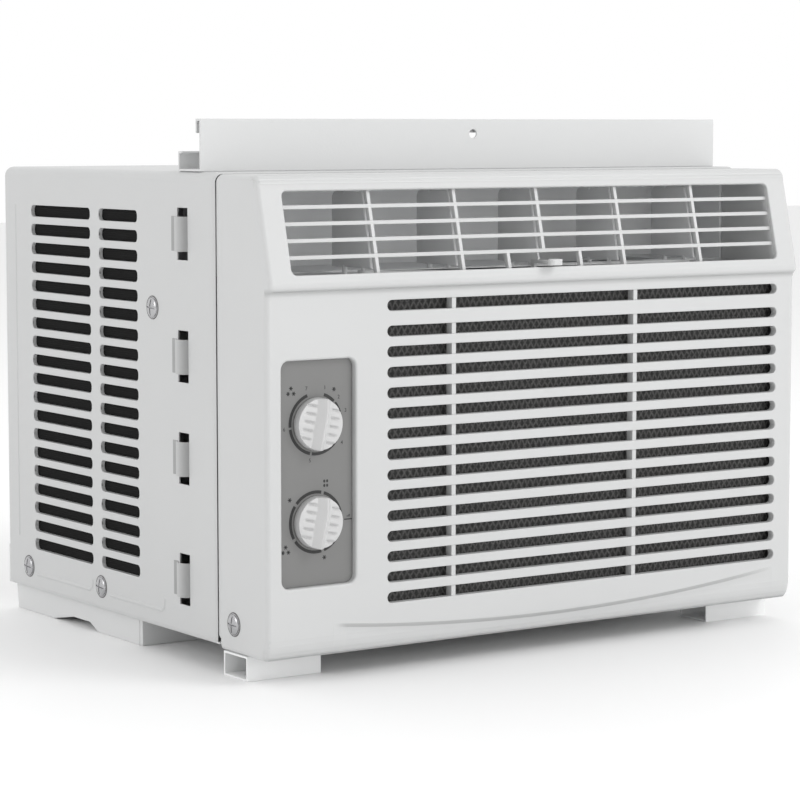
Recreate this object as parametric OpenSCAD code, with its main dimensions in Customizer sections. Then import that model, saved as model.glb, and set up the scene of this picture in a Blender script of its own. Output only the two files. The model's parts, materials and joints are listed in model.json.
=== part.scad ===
// Window air conditioner with mechanical controls.
// X runs to the right, Y to the back of the unit, Z up. The sill is at z = 0.
// Inside unit() y is counted from the lower front face and z from the panel's bottom edge.

/* [Overall] */
// Width of the cabinet and of the front panel
body_w = 406; // [390:1:500]
// Height of the front panel
panel_h = 283; // [270:1:345]
// Depth from the lower front face to the back of the cabinet
body_d = 338; // [325:1:420]
// Height that the feet hold the unit above the sill
foot_h = 15; // [12:1:22]
// Depth of the front panel, front face to seam
panel_d = 55; // [54:0.5:66]

/* [Front panel] */
// Wall of the moulded panel
wall = 2.5; // [2:0.1:3]
// Height of the sloping outlet band at the top
band_h = 65; // [62:1:72]
// How far the band stands out over the lower face
ledge_d = 4; // [2:0.5:5]
// How far the band leans back over its height
band_run = 16; // [12:1:20]
// Height of the undercut below the band
ledge_h = 4; // [2:0.5:6]
// Depth of the curved chin at the bottom edge
chin_d = 5.6; // [3:0.1:8]
// Height of the curved chin
chin_h = 14; // [10:1:18]
// Radius of the panel's top edge
top_r = 6; // [4:0.5:8]

/* [Air intake] */
// Number of intake slots
intake_rows = 15; // [10:1:16]
// Height of one intake slot
intake_slot_h = 6.5; // [4:0.1:7.5]
// Depth of the bars between the slots
intake_bar_d = 5; // [3:0.5:6]
// Gap between the first two slots, centre to centre
intake_first_gap = 15.3; // [12:0.1:18]
// Height of the lowest slot's centre
intake_low_z = 30.5; // [26:0.5:36]
// Distance of the stiffening ribs from the middle
intake_rib_x = 70; // [50:1:90]

/* [Outlet] */
// Rows of openings between the horizontal bars
outlet_rows = 5; // [3:1:7]
// Bays between the upright ribs, one swivel vane behind each inner rib
outlet_bays = 6; // [6:1:6]
// Thickness of the bars and ribs
bar_t = 2; // [1.5:0.1:2.5]
// Thickness of a vane
vane_t = 1.6; // [1.2:0.1:2.4]
// Radius of a vane's pivot pins
pin_r = 1.6; // [1.2:0.1:2.2]
// Distance of the link pins in front of the pivots
link_arm = 20; // [14:1:21]

/* [Controls] */
// Width of the control plate's recess
plate_w = 51.4; // [46:0.1:62]
// Height of the control plate's recess
plate_h = 133.5; // [120:0.5:150]
// Depth of the recess
recess_d = 4; // [2:0.5:5]
// Thickness of the control plate
plate_t = 1.2; // [0.8:0.1:2]
// Diameter of a knob
knob_dia = 31; // [26:0.5:38]
// Height of a knob's round skirt
knob_skirt_h = 4.5; // [3:0.5:6]
// Height of a knob over the plate
knob_h = 14; // [10:0.5:18]
// Distance between the two knobs
knob_gap = 58; // [48:1:64]
// How far both knobs are turned clockwise at rest
knob_turn = 17; // [-17:1:17]
// Radius of the switch and thermostat shafts
shaft_r = 3; // [2:0.1:4]

/* [Cabinet] */
// Thickness of the cabinet sheet
sheet = 1; // [0.8:0.1:1.5]
// Radius of the cabinet's long top edges
cabinet_r = 6; // [4:0.5:10]
// Rows of side vents
vent_rows = 19; // [12:1:19]
// Height of one side vent
vent_h = 7.5; // [5:0.1:8.5]
// Length of a vent in the rear column
vent_long = 82; // [60:1:90]
// Length of a vent in the front column
vent_short = 50; // [36:1:52]
// Height of one window bracket hook
hook_h = 21; // [16:1:24]
// Clearance inside a hook
hook_gap = 3.5; // [2.5:0.5:5]

/* [Sash rail] */
// Height of the rail's front flange
rail_front_h = 31.5; // [24:0.5:40]
// Height of the rail's rear flange
rail_rear_h = 12; // [8:0.5:16]
// Inside width of the channel
rail_gap = 24; // [20:0.5:30]
// Sheet thickness of the rail
rail_t = 1.4; // [1:0.1:2]
// Radius of the sash screw hole
rail_hole_r = 2.75; // [2:0.25:4]

/* [Air system] */
// Radius of the blower wheel
blower_r = 74; // [60:1:76]
// Radius of the condenser fan's blades
fan_r = 92; // [76:1:96]
// Radius of the motor shaft
motor_shaft_r = 4; // [3:0.5:5]
// Radius of the fan motor
motor_r = 42; // [34:1:46]
// Thickness of the evaporator
evap_t = 26; // [20:1:28]
// Thickness of the condenser
cond_t = 28; // [20:1:32]
// Outer radius of the coil tubes
tube_r = 4.75; // [3.5:0.25:5]

/* [Compressor] */
// Radius of the compressor shell
comp_r = 57; // [48:1:60]
// Height of the compressor shell
comp_h = 178; // [150:1:190]
// Radius of the compressor's mounting studs
stud_r = 3; // [2.5:0.1:4]

/* [Hidden] */
$fn = 48;

// Fits
run_fit = 0.05;
slip_fit = 0.02;
seam_gap = 0.6;
part_gap = 0.4;

// Where the unit stands in the shared frame
front_reach = knob_h - recess_d;
face_y = front_reach - (body_d + front_reach) / 2;

// Front panel
ledge_z = panel_h - band_h;
outlet_w = body_w - 33.4;
outlet_z0 = ledge_z + 7.3;
outlet_z1 = panel_h - 9.2;
outlet_row = (outlet_z1 - outlet_z0) / outlet_rows;
bay = outlet_w / outlet_bays;
intake_x0 = -body_w / 2 + 84.3;
intake_x1 = body_w / 2 - 15.2;
intake_w = intake_x1 - intake_x0;
intake_cx = (intake_x0 + intake_x1) / 2;
intake_top_z = ledge_z - 12.6;
intake_pitch = (intake_top_z - intake_first_gap - intake_low_z) / (intake_rows - 2);
function intake_z(i) = i == 0 ? intake_top_z
                              : intake_top_z - intake_first_gap - (i - 1) * intake_pitch;
function band_y(z) = -ledge_d + (z - ledge_z) * band_run / band_h;

// Controls
plate_cx = -body_w / 2 + 10.4 + plate_w / 2;
plate_cz = panel_h - 174.2;
plate_y = recess_d;
recess_floor = recess_d + plate_t;
recess_back = recess_floor + 2;
knob_z = [plate_cz + knob_gap / 2, plate_cz - knob_gap / 2];
switch_y = recess_back + part_gap;
box_x0 = -body_w / 2 + wall + 3;
box_x1 = plate_cx + plate_w / 2 + 5;

// Outlet frame and vanes
frame_top = outlet_z1 + 1.5;
frame_low = outlet_z0 - 4.5;
shelf_t = 2;
frame_y1 = panel_d - 1;
cheek_x = outlet_w / 2;
pivot_y = 38;
link_y = pivot_y - link_arm;
link_z = frame_low + shelf_t + 0.8;
link_t = 2.2;
vane_z0 = link_z + link_t + 4.2;
vane_z1 = outlet_z1 - 0.6;
vane_y1 = frame_y1 - 3;

// Filter
filter_y = 10;
filter_t = 4;
filter_z0 = 22;
filter_z1 = ledge_z - 8;
filter_x0 = intake_x0 - 4;
filter_x1 = body_w / 2;

// Cabinet
cabinet_y0 = panel_d + seam_gap;
cabinet_h = panel_h + 1;
rear_flange = 12;
vent_z0 = 33.9;
vent_z1 = panel_h - 27.5;
vent_pitch = (vent_z1 - vent_z0) / (vent_rows - 1);
vent_rear_y = body_d - 83.3;
vent_front_y = vent_rear_y - vent_long / 2 - 11.7 - vent_short / 2;
hook_y = panel_d + 34.4;
hook_w = 12.4;
hook_hole_h = 31.5;
hook_mid = panel_h / 2;
hook_zs = [for (s = [-105, -31, 31, 105]) hook_mid + s * panel_h / 283];
screw_low_z = 17.4;
side_screws = [[body_d - 33.2, screw_low_z], [body_d - 135, screw_low_z],
               [bulkhead_y() + 12, panel_h - 82.7]];
panel_screw_y = panel_d - 17.1;
screw_r = 2;
screw_head_r = 6.8;
function bulkhead_y() = panel_d + 66;

// Base pan
pan_z = wall;
pan_t = 1;
pan_wall_h = 26;
pan_y0 = 16;
pan_y1 = body_d - sheet;
pad_in = 4;
pad_w = 74;
boss_h = foot_h - 8 + pan_z;

// Air system
fan_x = body_w / 2 - 148;
fan_z = 112;
scroll_y0 = panel_d + 2;
scroll_y1 = bulkhead_y();
scroll_wall = 2;
scroll_r = blower_r + 14;
duct_y1 = bulkhead_y();
duct_z0 = frame_low;
duct_z1 = frame_top + shelf_t;
throat_w = 84;
motor_y0 = bulkhead_y() + 16;
motor_l = 66;
motor_y1 = motor_y0 + motor_l;
shroud_y = body_d - 70;
shroud_t = 1.6;
cond_y0 = body_d - sheet - 8 - cond_t;
fan_hub_l = 24;
fan_y0 = shroud_y - 18;
blower_hub_y0 = bulkhead_y() - 22;
collar_r = fan_r + 5;

// Coils
evap_y0 = filter_y + filter_t + 4;
evap_x0 = intake_x0 + 14;
evap_x1 = body_w / 2 - wall - 24;
evap_z0 = 24;
evap_rows = 8;
evap_z1 = ledge_z - 9;
evap_pitch = (evap_z1 - evap_z0) / evap_rows;
end_plate_t = 1.5;
cond_x0 = -body_w / 2 + sheet + 30;
cond_x1 = body_w / 2 - sheet - 30;
cond_z0 = pan_z + pan_t + 4;
cond_z1 = panel_h - 16;
cond_rows = 12;
cond_pitch = (cond_z1 - cond_z0) / cond_rows;

// Compressor
comp_x = -body_w / 2 + 78;
comp_y = min(bulkhead_y() + comp_r + 18, shroud_y - comp_r - 8);
comp_z = pan_z + pan_t + 14;
comp_foot_t = 3;
comp_foot_r = comp_r - 4;
grommet_r = 9;
accumulator_r = 17;
accumulator_x = comp_x + comp_r + accumulator_r + 6;
accumulator_y = comp_y + 26;
accumulator_h = 110;
accumulator_z1 = comp_z + 136;

// Colours
white_plastic = [0.90, 0.90, 0.90];
white_paint = [0.86, 0.87, 0.87];
plate_grey = [0.52, 0.52, 0.52];
mesh_grey = [0.28, 0.28, 0.29];
duct_grey = [0.60, 0.61, 0.62];
zinc = [0.70, 0.71, 0.72];
copper = [0.72, 0.43, 0.27];
fin_metal = [0.78, 0.79, 0.80];
black_paint = [0.08, 0.08, 0.09];
rubber_black = [0.06, 0.06, 0.06];

// ---------- Shared helpers ----------

module unit() translate([0, face_y, foot_h]) children();

// A flat outline in Y and Z, made solid from x0 over a length along X
module along_x(x0, length) translate([x0, 0, 0]) rotate([90, 0, 90]) linear_extrude(length) children();

// A flat outline in X and Z, made solid from y0 over a length along Y
module along_y(y0, length) translate([0, y0 + length, 0]) rotate([90, 0, 0]) linear_extrude(length) children();

// A block between its lowest and highest corners
module block(low, high) translate(low) cube(high - low);

module rod_x(x0, x1, y, z, r) translate([x0, y, z]) rotate([0, 90, 0]) cylinder(h = x1 - x0, r = r);
module rod_y(x, y0, y1, z, r) translate([x, y1, z]) rotate([90, 0, 0]) cylinder(h = y1 - y0, r = r);
module rod_z(x, y, z0, z1, r) translate([x, y, z0]) cylinder(h = z1 - z0, r = r);

module slot_2d(length, height) {
    square([length - height, height], center = true);
    for (s = [-1, 1]) translate([s * (length - height) / 2, 0]) circle(d = height);
}

module rounded_2d(w, h, r) {
    square([w - 2 * r, h], center = true);
    square([w, h - 2 * r], center = true);
    for (sx = [-1, 1], sz = [-1, 1]) translate([sx * (w / 2 - r), sz * (h / 2 - r)]) circle(r);
}

// A round tube swept along a route whose corners are eased with short arcs
function heading(v) = v / norm(v);
function eased(p, ease) = [for (i = [0:len(p) - 1])
    each (i == 0 || i == len(p) - 1) ? [p[i]] :
        let (a = p[i] + heading(p[i - 1] - p[i]) * ease,
             b = p[i] + heading(p[i + 1] - p[i]) * ease)
        [for (t = [0:0.25:1]) a * pow(1 - t, 2) + p[i] * 2 * t * (1 - t) + b * pow(t, 2)]];
function tangent(p, i) = heading(p[min(i + 1, len(p) - 1)] - p[max(i - 1, 0)]);
function carried(p, i, n) = i >= len(p) ? [] :
    let (t = tangent(p, i), m = heading(n - (n * t) * t)) concat([m], carried(p, i + 1, m));
module swept_tube(route, r, ease = 10, sides = 10) tube_along(eased(route, ease), r, sides);
module tube_along(p, r, sides) {
    t0 = tangent(p, 0);
    n = carried(p, 0, cross(t0, abs(t0.z) < 0.9 ? [0, 0, 1] : [1, 0, 0]));
    rings = [for (i = [0:len(p) - 1], k = [0:sides - 1])
        let (a = 360 * k / sides, t = tangent(p, i))
        p[i] + r * (cos(a) * n[i] + sin(a) * cross(t, n[i]))];
    walls = [for (i = [0:len(p) - 2], k = [0:sides - 1])
        let (j = (k + 1) % sides)
        [i * sides + k, (i + 1) * sides + k, (i + 1) * sides + j, i * sides + j]];
    last = (len(p) - 1) * sides;
    polyhedron(points = rings, convexity = 6,
        faces = concat([[for (k = [0:sides - 1]) k]], walls,
                       [[for (k = [sides - 1:-1:0]) last + k]]));
}

// A slotted pan-head screw lying along X, its head on the side face, s = -1 left or 1 right
module side_screw(s, face_x, y, z, length) {
    mirror([s < 0 ? 1 : 0, 0, 0]) {
        translate([face_x, y, z]) rotate([0, 90, 0]) difference() {
            cylinder(h = 2.4, r1 = screw_head_r, r2 = screw_head_r - 2.2);
            for (a = [0, 90]) rotate([0, 0, a]) translate([-4, -0.6, 1.2]) cube([8, 1.2, 2]);
        }
        rod_x(face_x - length, face_x + 0.1, y, z, screw_r);
    }
}

// ---------- Front panel and outlet ----------

// Side outline of the panel, drawn w inside its outer skin and run past the open back
module panel_outline(w) {
    back = panel_d + (w > 0 ? 1 : 0);
    crown_y = band_y(panel_h - top_r) + top_r;
    crown_z = panel_h - top_r;
    chin = [for (a = [0:15:90]) [w + chin_d * (1 - sin(a)), w + (chin_h - w) * (1 - cos(a))]];
    crown = [for (a = [180:-15:90]) [crown_y + (top_r - w) * cos(a), crown_z + (top_r - w) * sin(a)]];
    polygon(concat([[back, w]], chin, [[w, ledge_z - ledge_h], [w - ledge_d, ledge_z]],
                   crown, [[back, panel_h - w]]));
}

module front_panel() {
    color(white_plastic) unit() difference() {
        union() {
            difference() {
                along_x(-body_w / 2, body_w) panel_outline(0);
                along_x(-body_w / 2 + wall, body_w - 2 * wall) panel_outline(wall);
            }
            block([intake_x0 - 3, 0.1, intake_low_z - 8],
                  [intake_x1 + 3, intake_bar_d, intake_top_z + 6]);
            block([plate_cx - plate_w / 2 - 1.5, 0.1, plate_cz - plate_h / 2 - 2],
                  [plate_cx + plate_w / 2 + 2, recess_back, plate_cz + plate_h / 2 + 2]);
        }
        for (i = [0:intake_rows - 1])
            along_y(-1, intake_bar_d + 2) translate([intake_cx, intake_z(i)]) slot_2d(intake_w, intake_slot_h);
        along_y(-10, 30) translate([0, (outlet_z0 + outlet_z1) / 2])
            rounded_2d(outlet_w, outlet_z1 - outlet_z0, 3.5);
        along_y(-1, recess_floor + 1) translate([plate_cx, plate_cz]) rounded_2d(plate_w, plate_h, 5);
        for (z = knob_z) rod_y(plate_cx, recess_floor - 1, recess_back + 1, z, shaft_r + 1.5);
        block([body_w / 2 - wall - 1, filter_y - part_gap, filter_z0 - part_gap],
              [body_w / 2 + 1, filter_y + filter_t + part_gap, filter_z1 + part_gap]);
        rod_x(-body_w / 2 - 1, body_w / 2 + 1, panel_screw_y, screw_low_z, screw_r + 0.2);
        for (s = [-1, 1], d = [-15, 15])
            rod_z(s * foot_cx() + d, foot_y() + foot_d() / 2, -1, wall + 1, screw_r + 0.2);
    }
    color(white_plastic) unit() {
        for (s = [-1, 1]) block([s * intake_rib_x - 1.5, intake_bar_d, intake_low_z - 8],
                                [s * intake_rib_x + 1.5, intake_bar_d + 3, intake_top_z + 6]);
        filter_guide(filter_z1 + part_gap, 1);
        filter_guide(filter_z0 - part_gap, -1);
    }
}

// A channel that holds the filter's upper (s = 1) or lower (s = -1) edge
module filter_guide(z, s) {
    t = 1.5;
    back = filter_y + filter_t + part_gap;
    x0 = filter_x0 - 3;
    x1 = body_w / 2 - wall;
    block([x0, 1, min(z, z + s * t)], [x1, back + t, max(z, z + s * t)]);
    block([x0, back, min(z - s * 3, z + s * t)], [x1, back + t, max(z - s * 3, z + s * t)]);
}

// One upright rib that follows the slope behind the bars, between two heights
module outlet_rib(x, z0, z1) {
    along_x(x - bar_t / 2, bar_t) polygon([
        [band_y(z0) + 5, z0], [band_y(z0) + 11, z0], [band_y(z1) + 11, z1], [band_y(z1) + 5, z1]]);
}

module outlet_grille() {
    color(white_plastic) unit() difference() {
        union() {
            for (i = [1:outlet_rows - 1]) {
                z = outlet_z0 + i * outlet_row;
                block([-cheek_x - 1, band_y(z) + 3.6, z - bar_t / 2], [cheek_x + 1, band_y(z) + 7.5, z + bar_t / 2]);
            }
            for (i = [1:outlet_bays - 1])
                outlet_rib((i - outlet_bays / 2) * bay,
                           i == outlet_bays / 2 ? outlet_z0 + outlet_row - bar_t / 2 : frame_low + 1,
                           frame_top + 1);
            for (s = [-1, 1]) outlet_rib(s * 0.445 * bay, frame_low + 1, outlet_z0 + outlet_row);
            for (s = [-1, 1]) along_x(s < 0 ? -cheek_x - 2 : cheek_x, 2) polygon([
                [band_y(frame_low) + 2.8, frame_low], [frame_y1, frame_low],
                [frame_y1, frame_top + shelf_t], [band_y(frame_top + shelf_t) + 2.8, frame_top + shelf_t]]);
            block([-cheek_x - 1, band_y(frame_low) + 4.5, frame_low + 0.4],
                  [cheek_x + 1, frame_y1 - 0.6, frame_low + shelf_t]);
            block([-cheek_x - 1, band_y(frame_top) + 4.5, frame_top],
                  [cheek_x + 1, frame_y1 - 0.6, frame_top + shelf_t - 0.4]);
        }
        for (i = [1:outlet_bays - 1])
            rod_z((i - outlet_bays / 2) * bay, pivot_y, frame_low - 1, frame_top + shelf_t + 1, pin_r + run_fit);
    }
}

// A swivel vane: an upright blade with pivot pins and a pin for the link
module vane(n) {
    x = (n - outlet_bays / 2) * bay;
    front_low = band_y(vane_z0) + 14;
    front_top = band_y(vane_z1) + 13;
    color(white_plastic) unit() {
        along_x(x - vane_t / 2, vane_t) difference() {
            polygon([[front_low, vane_z0], [vane_y1, vane_z0], [vane_y1, vane_z1], [front_top, vane_z1]]);
            translate([vane_y1 - 9, vane_z1 - 9]) difference() {
                square(10);
                circle(9);
            }
        }
        rod_z(x, pivot_y, frame_low + 0.2, frame_top + shelf_t - 0.2, pin_r);
        rod_z(x, link_y, link_z - 0.4, vane_z0 + 4, pin_r - 0.3);
    }
}
module vane_1() vane(1);
module vane_2() vane(2);
module vane_3() vane(3);
module vane_4() vane(4);
module vane_5() vane(5);

// The bar that ties the vanes together, with the finger tab that stands out of the grille
module vane_link() {
    tab_y = band_y(outlet_z0) - 4;
    tab_z = outlet_z0 + 2.8;
    reach = (outlet_bays / 2 - 1) * bay;
    color(white_plastic) unit() difference() {
        union() {
            translate([0, link_y, link_z]) linear_extrude(link_t) slot_2d(2 * reach + 7, 6);
            block([-1.2, tab_y, tab_z - 1.2], [1.2, link_y - 2.4, tab_z + 1]);
            block([-1.2, link_y - 5.4, link_z + 0.2], [1.2, link_y - 2, tab_z + 1]);
            translate([0, tab_y - 1.2, tab_z - 1.8]) linear_extrude(3.8) slot_2d(9.5, 6.4);
        }
        for (i = [1:outlet_bays - 1])
            rod_z((i - outlet_bays / 2) * bay, link_y, link_z - 1, link_z + link_t + 1, pin_r - 0.3 + run_fit);
    }
}

module filter_frame() {
    rim = 6;
    bars = 4;
    color(white_plastic) unit() {
        difference() {
            block([filter_x0, filter_y, filter_z0], [filter_x1, filter_y + filter_t, filter_z1]);
            for (i = [0:bars - 1]) {
                w = (filter_x1 - 12 - filter_x0 - rim) / bars;
                block([filter_x0 + rim + i * w, filter_y - 1, filter_z0 + rim],
                      [filter_x0 + i * w + w, filter_y + filter_t + 1, filter_z1 - rim]);
            }
        }
        block([filter_x1 - 0.1, filter_y + 0.5, (filter_z0 + filter_z1) / 2 - 12],
              [filter_x1 + 3, filter_y + filter_t - 0.5, (filter_z0 + filter_z1) / 2 + 12]);
    }
}

module filter_mesh() {
    rim = 6;
    bars = 4;
    w = (filter_x1 - 12 - filter_x0 - rim) / bars;
    color(mesh_grey) unit() for (i = [0:bars - 1])
        block([filter_x0 + rim + i * w, filter_y + 1.5, filter_z0 + rim],
              [filter_x0 + i * w + w, filter_y + 2.3, filter_z1 - rim]);
}

// ---------- Controls ----------

module control_plate() {
    color(plate_grey) unit() difference() {
        along_y(plate_y, plate_t) translate([plate_cx, plate_cz]) rounded_2d(plate_w - 0.4, plate_h - 0.4, 4.8);
        for (z = knob_z) rod_y(plate_cx, plate_y - 1, recess_floor + 1, z, shaft_r + 1.5);
    }
}

// A pointer knob: a round skirt, a tapered grip across it, and a blind bore for its shaft
module knob(z) {
    back = plate_y - 0.6;
    face = plate_y - knob_skirt_h;
    tip = plate_y - knob_h;
    grip_w = 9;
    color(white_plastic) unit() difference() {
        union() {
            rod_y(plate_cx, face, back, z, knob_dia / 2);
            translate([plate_cx, face, z]) rotate([0, knob_turn, 0]) intersection() {
                along_x(-grip_w / 2, grip_w) polygon([
                    [0.5, -knob_dia / 2 + 0.6], [tip - face, -knob_dia / 2 + 5],
                    [tip - face, knob_dia / 2 - 5], [0.5, knob_dia / 2 - 0.6]]);
                rotate([90, 0, 0]) translate([0, 0, -2]) cylinder(h = knob_h, r = knob_dia / 2 - 0.6);
            }
        }
        rod_y(plate_cx, tip + 5, back + 1, z, shaft_r + slip_fit);
    }
}
module temperature_knob() knob(knob_z[0]);
module mode_knob() knob(knob_z[1]);

// A control shaft from the knob's socket into its switch
module control_shaft(z) color(zinc) unit() rod_y(plate_cx, plate_y - knob_h + 5.2, switch_y + 16, z, shaft_r);
module thermostat_shaft() control_shaft(knob_z[0]);
module selector_shaft() control_shaft(knob_z[1]);

module thermostat() {
    z = knob_z[0];
    color(zinc) unit() difference() {
        block([plate_cx - 20, switch_y, z - 17], [plate_cx + 18, switch_y + 26, z + 17]);
        rod_y(plate_cx, switch_y - 1, switch_y + 17, z, shaft_r + run_fit);
    }
    color(rubber_black) unit() for (s = [-1, 1])
        block([plate_cx + s * 9 - 3, switch_y + 26, z - 8], [plate_cx + s * 9 + 3, switch_y + 33, z - 7]);
}

module selector_switch() {
    z = knob_z[1];
    color(black_paint) unit() difference() {
        union() {
            rod_y(plate_cx, switch_y, switch_y + 22, z, 18);
            for (a = [0:72:288]) translate([plate_cx, 0, z]) rotate([0, a, 0])
                block([11, switch_y + 21, -3], [12, switch_y + 30, 3]);
        }
        rod_y(plate_cx, switch_y - 1, switch_y + 17, z, shaft_r + run_fit);
    }
}

module control_box() {
    back = panel_d - 5;
    low = plate_cz - plate_h / 2 - 2;
    high = plate_cz + plate_h / 2 + 26;
    color(zinc) unit() difference() {
        block([box_x0, recess_back + 0.5, low], [box_x1, back, high]);
        block([box_x0 + sheet, recess_back - 1, low + sheet], [box_x1 - sheet, back - sheet, high - sheet]);
        rod_y(box_x1 - 12, back - 2, back + 1, low + 12, 5);
    }
}

// The run capacitor lies in the top of the control box
capacitor_r = 12;
capacitor_z = plate_cz + plate_h / 2 + 26 - sheet - capacitor_r - 1;
capacitor_y1 = panel_d - 5 - sheet;

module capacitor() {
    color(zinc) unit() {
        rod_y(plate_cx, recess_back + 6, capacitor_y1, capacitor_z, capacitor_r);
        for (s = [-1, 1]) block([plate_cx + s * 5 - 0.4, recess_back + 1, capacitor_z - 3],
                                [plate_cx + s * 5 + 0.4, recess_back + 6.1, capacitor_z + 3]);
    }
}

module capacitor_clamp() {
    y = capacitor_y1 - 22;
    color(fin_metal) unit() difference() {
        union() {
            rod_y(plate_cx, y, y + 10, capacitor_z, capacitor_r + 1);
            block([plate_cx - 18, y, capacitor_z + capacitor_r], [plate_cx + 18, y + 10, capacitor_z + capacitor_r + 1]);
        }
        rod_y(plate_cx, y - 1, y + 11, capacitor_z, capacitor_r + slip_fit);
    }
}

// ---------- Cabinet, base and rail ----------

// End outline of the cabinet wrapper, drawn w inside its skin and open at the bottom
module cabinet_outline(w) {
    r = cabinet_r - w;
    low = w > 0 ? -1 : 0;
    half = body_w / 2 - w;
    translate([-half, low]) square([2 * half, cabinet_h - cabinet_r - low]);
    translate([-half + r, low]) square([2 * half - 2 * r, cabinet_h - w - low]);
    for (s = [-1, 1]) translate([s * (half - r), cabinet_h - cabinet_r]) circle(r);
}

module cabinet() {
    reach = hook_gap + sheet;
    color(white_paint) unit() difference() {
        union() {
            along_y(cabinet_y0, body_d - cabinet_y0) difference() {
                cabinet_outline(0);
                cabinet_outline(sheet);
            }
            along_y(body_d - sheet, sheet) difference() {
                cabinet_outline(0);
                translate([-body_w / 2 + rear_flange, -1]) square([body_w - 2 * rear_flange, cabinet_h - rear_flange + 1]);
            }
        }
        along_x(-body_w / 2 - 1, body_w + 2) {
            for (i = [0:vent_rows - 1], v = [[vent_rear_y, vent_long], [vent_front_y, vent_short]])
                translate([v[0], vent_z0 + i * vent_pitch]) slot_2d(v[1], vent_h);
            for (z = hook_zs) translate([hook_y + hook_w / 2, z]) square([hook_w, hook_hole_h], center = true);
            for (p = side_screws) translate(p) circle(screw_r + 0.2);
        }
        for (x = rail_screw_x()) rod_z(x, rail_y0() + rail_t + rail_gap / 2, cabinet_h - 5, cabinet_h + 1, screw_r + 0.2);
        rod_x(body_w / 2 - 3, body_w / 2 + 1, gland_y(), gland_z(), gland_r());
    }
    color(white_paint) unit() for (s = [0, 1], z = hook_zs) mirror([s, 0, 0]) {
        block([body_w / 2 - sheet, hook_y - sheet, z - hook_h / 2], [body_w / 2 + reach, hook_y, z + hook_h / 2]);
        block([body_w / 2 + hook_gap, hook_y - 0.1, z - hook_h / 2], [body_w / 2 + reach, hook_y + hook_w - 3, z + hook_h / 2]);
    }
}

// Side outline of the feet stamped into the pan
module pad_outline(w) {
    polygon([[pad_y0() + w, pan_z + (w > 0 ? pan_t + 1 : 0)], [pad_y0() + w, w - foot_h], [pad_y0() + 56 - w, w - foot_h],
             [pad_y0() + 67 - w, w - 10], [pad_y1() - 82 + w, w - 10], [pad_y1() - 54 + w, w - foot_h],
             [pad_y1() - 2 - w, w - foot_h], [pad_y1() - w, pan_z + (w > 0 ? pan_t + 1 : 0)]]);
}
function pad_y0() = panel_d + 107;
function pad_y1() = body_d - 4;

module base_pan() {
    half_in = body_w / 2 - wall;
    half_out = body_w / 2 - sheet;
    color(zinc) unit() difference() {
        union() {
            block([-half_in, pan_y0, pan_z], [half_in, cabinet_y0 + 1, pan_z + pan_wall_h]);
            block([-half_out, cabinet_y0 + 1, pan_z], [half_out, pan_y1, pan_z + pan_wall_h]);
            for (s = [0, 1]) mirror([s, 0, 0]) along_x(half_out - pad_in - pad_w, pad_w) pad_outline(0);
        }
        block([-half_in + pan_t, pan_y0 + pan_t, pan_z + pan_t], [half_in - pan_t, cabinet_y0 + 2, pan_z + pan_wall_h + 1]);
        block([-half_out + pan_t, cabinet_y0 + 1 + pan_t, pan_z + pan_t],
              [half_out - pan_t, pan_y1 - pan_t, pan_z + pan_wall_h + 1]);
        block([-half_in + pan_t, cabinet_y0 - 4, pan_z + pan_t], [half_in - pan_t, cabinet_y0 + 8, pan_z + pan_wall_h + 1]);
        for (s = [0, 1]) mirror([s, 0, 0])
            along_x(half_out - pad_in - pad_w + pan_t, pad_w - 2 * pan_t) pad_outline(pan_t);
        for (i = [0, 1]) rod_x(-body_w / 2, body_w / 2, side_screws[i].x, side_screws[i].y, screw_r + 0.2);
        rod_x(-body_w / 2, body_w / 2, panel_screw_y, screw_low_z, screw_r + 0.2);
        for (s = [-1, 1], d = [-15, 15])
            rod_z(s * foot_cx() + d, foot_y() + foot_d() / 2, pan_z - 1, pan_z + pan_t + 1, screw_r + 0.2);
        for (a = stud_angles()) rod_z(comp_x + comp_foot_r * cos(a), comp_y + comp_foot_r * sin(a),
                                      pan_z - 20, pan_z + pan_t + 1, grommet_r);
    }
    color(zinc) unit() for (a = stud_angles())
        translate([comp_x + comp_foot_r * cos(a), comp_y + comp_foot_r * sin(a), 0]) difference() {
            rod_z(0, 0, pan_z - boss_h, pan_z + pan_t, grommet_r + 1.5);
            rod_z(0, 0, pan_z - boss_h + 2, pan_z + pan_t + 1, stud_r + slip_fit);
        }
}

function rail_y0() = panel_d + 23.8;
function rail_screw_x() = [for (s = [-0.37, -0.15, 0.15, 0.37]) s * body_w];
module sash_rail() {
    length = body_w - 6;
    y0 = rail_y0();
    y1 = y0 + rail_gap + 2 * rail_t;
    z0 = cabinet_h;
    z1 = z0 + rail_front_h;
    hem = 3;
    color(white_paint) unit() difference() {
        along_x(-length / 2, length) {
            translate([y0, z0]) square([y1 - y0, rail_t]);
            translate([y0, z0]) square([rail_t, rail_front_h]);
            translate([y0, z1 - rail_t]) square([hem + 2 * rail_t, rail_t]);
            translate([y0 + hem + rail_t, z1 - 8.6]) square([rail_t, 8.6]);
            translate([y1 - rail_t, z0]) square([rail_t, rail_rear_h]);
            translate([y1 - 3 - rail_t, z0 + rail_rear_h - rail_t]) square([3 + rail_t, rail_t]);
        }
        rod_y(0, y0 - 1, y0 + rail_t + 0.5, z1 - 9.3, rail_hole_r);
        for (x = rail_screw_x()) rod_z(x, y0 + rail_t + rail_gap / 2, z0 - 1, z0 + rail_t + 1, screw_r + 0.2);
    }
}

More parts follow.
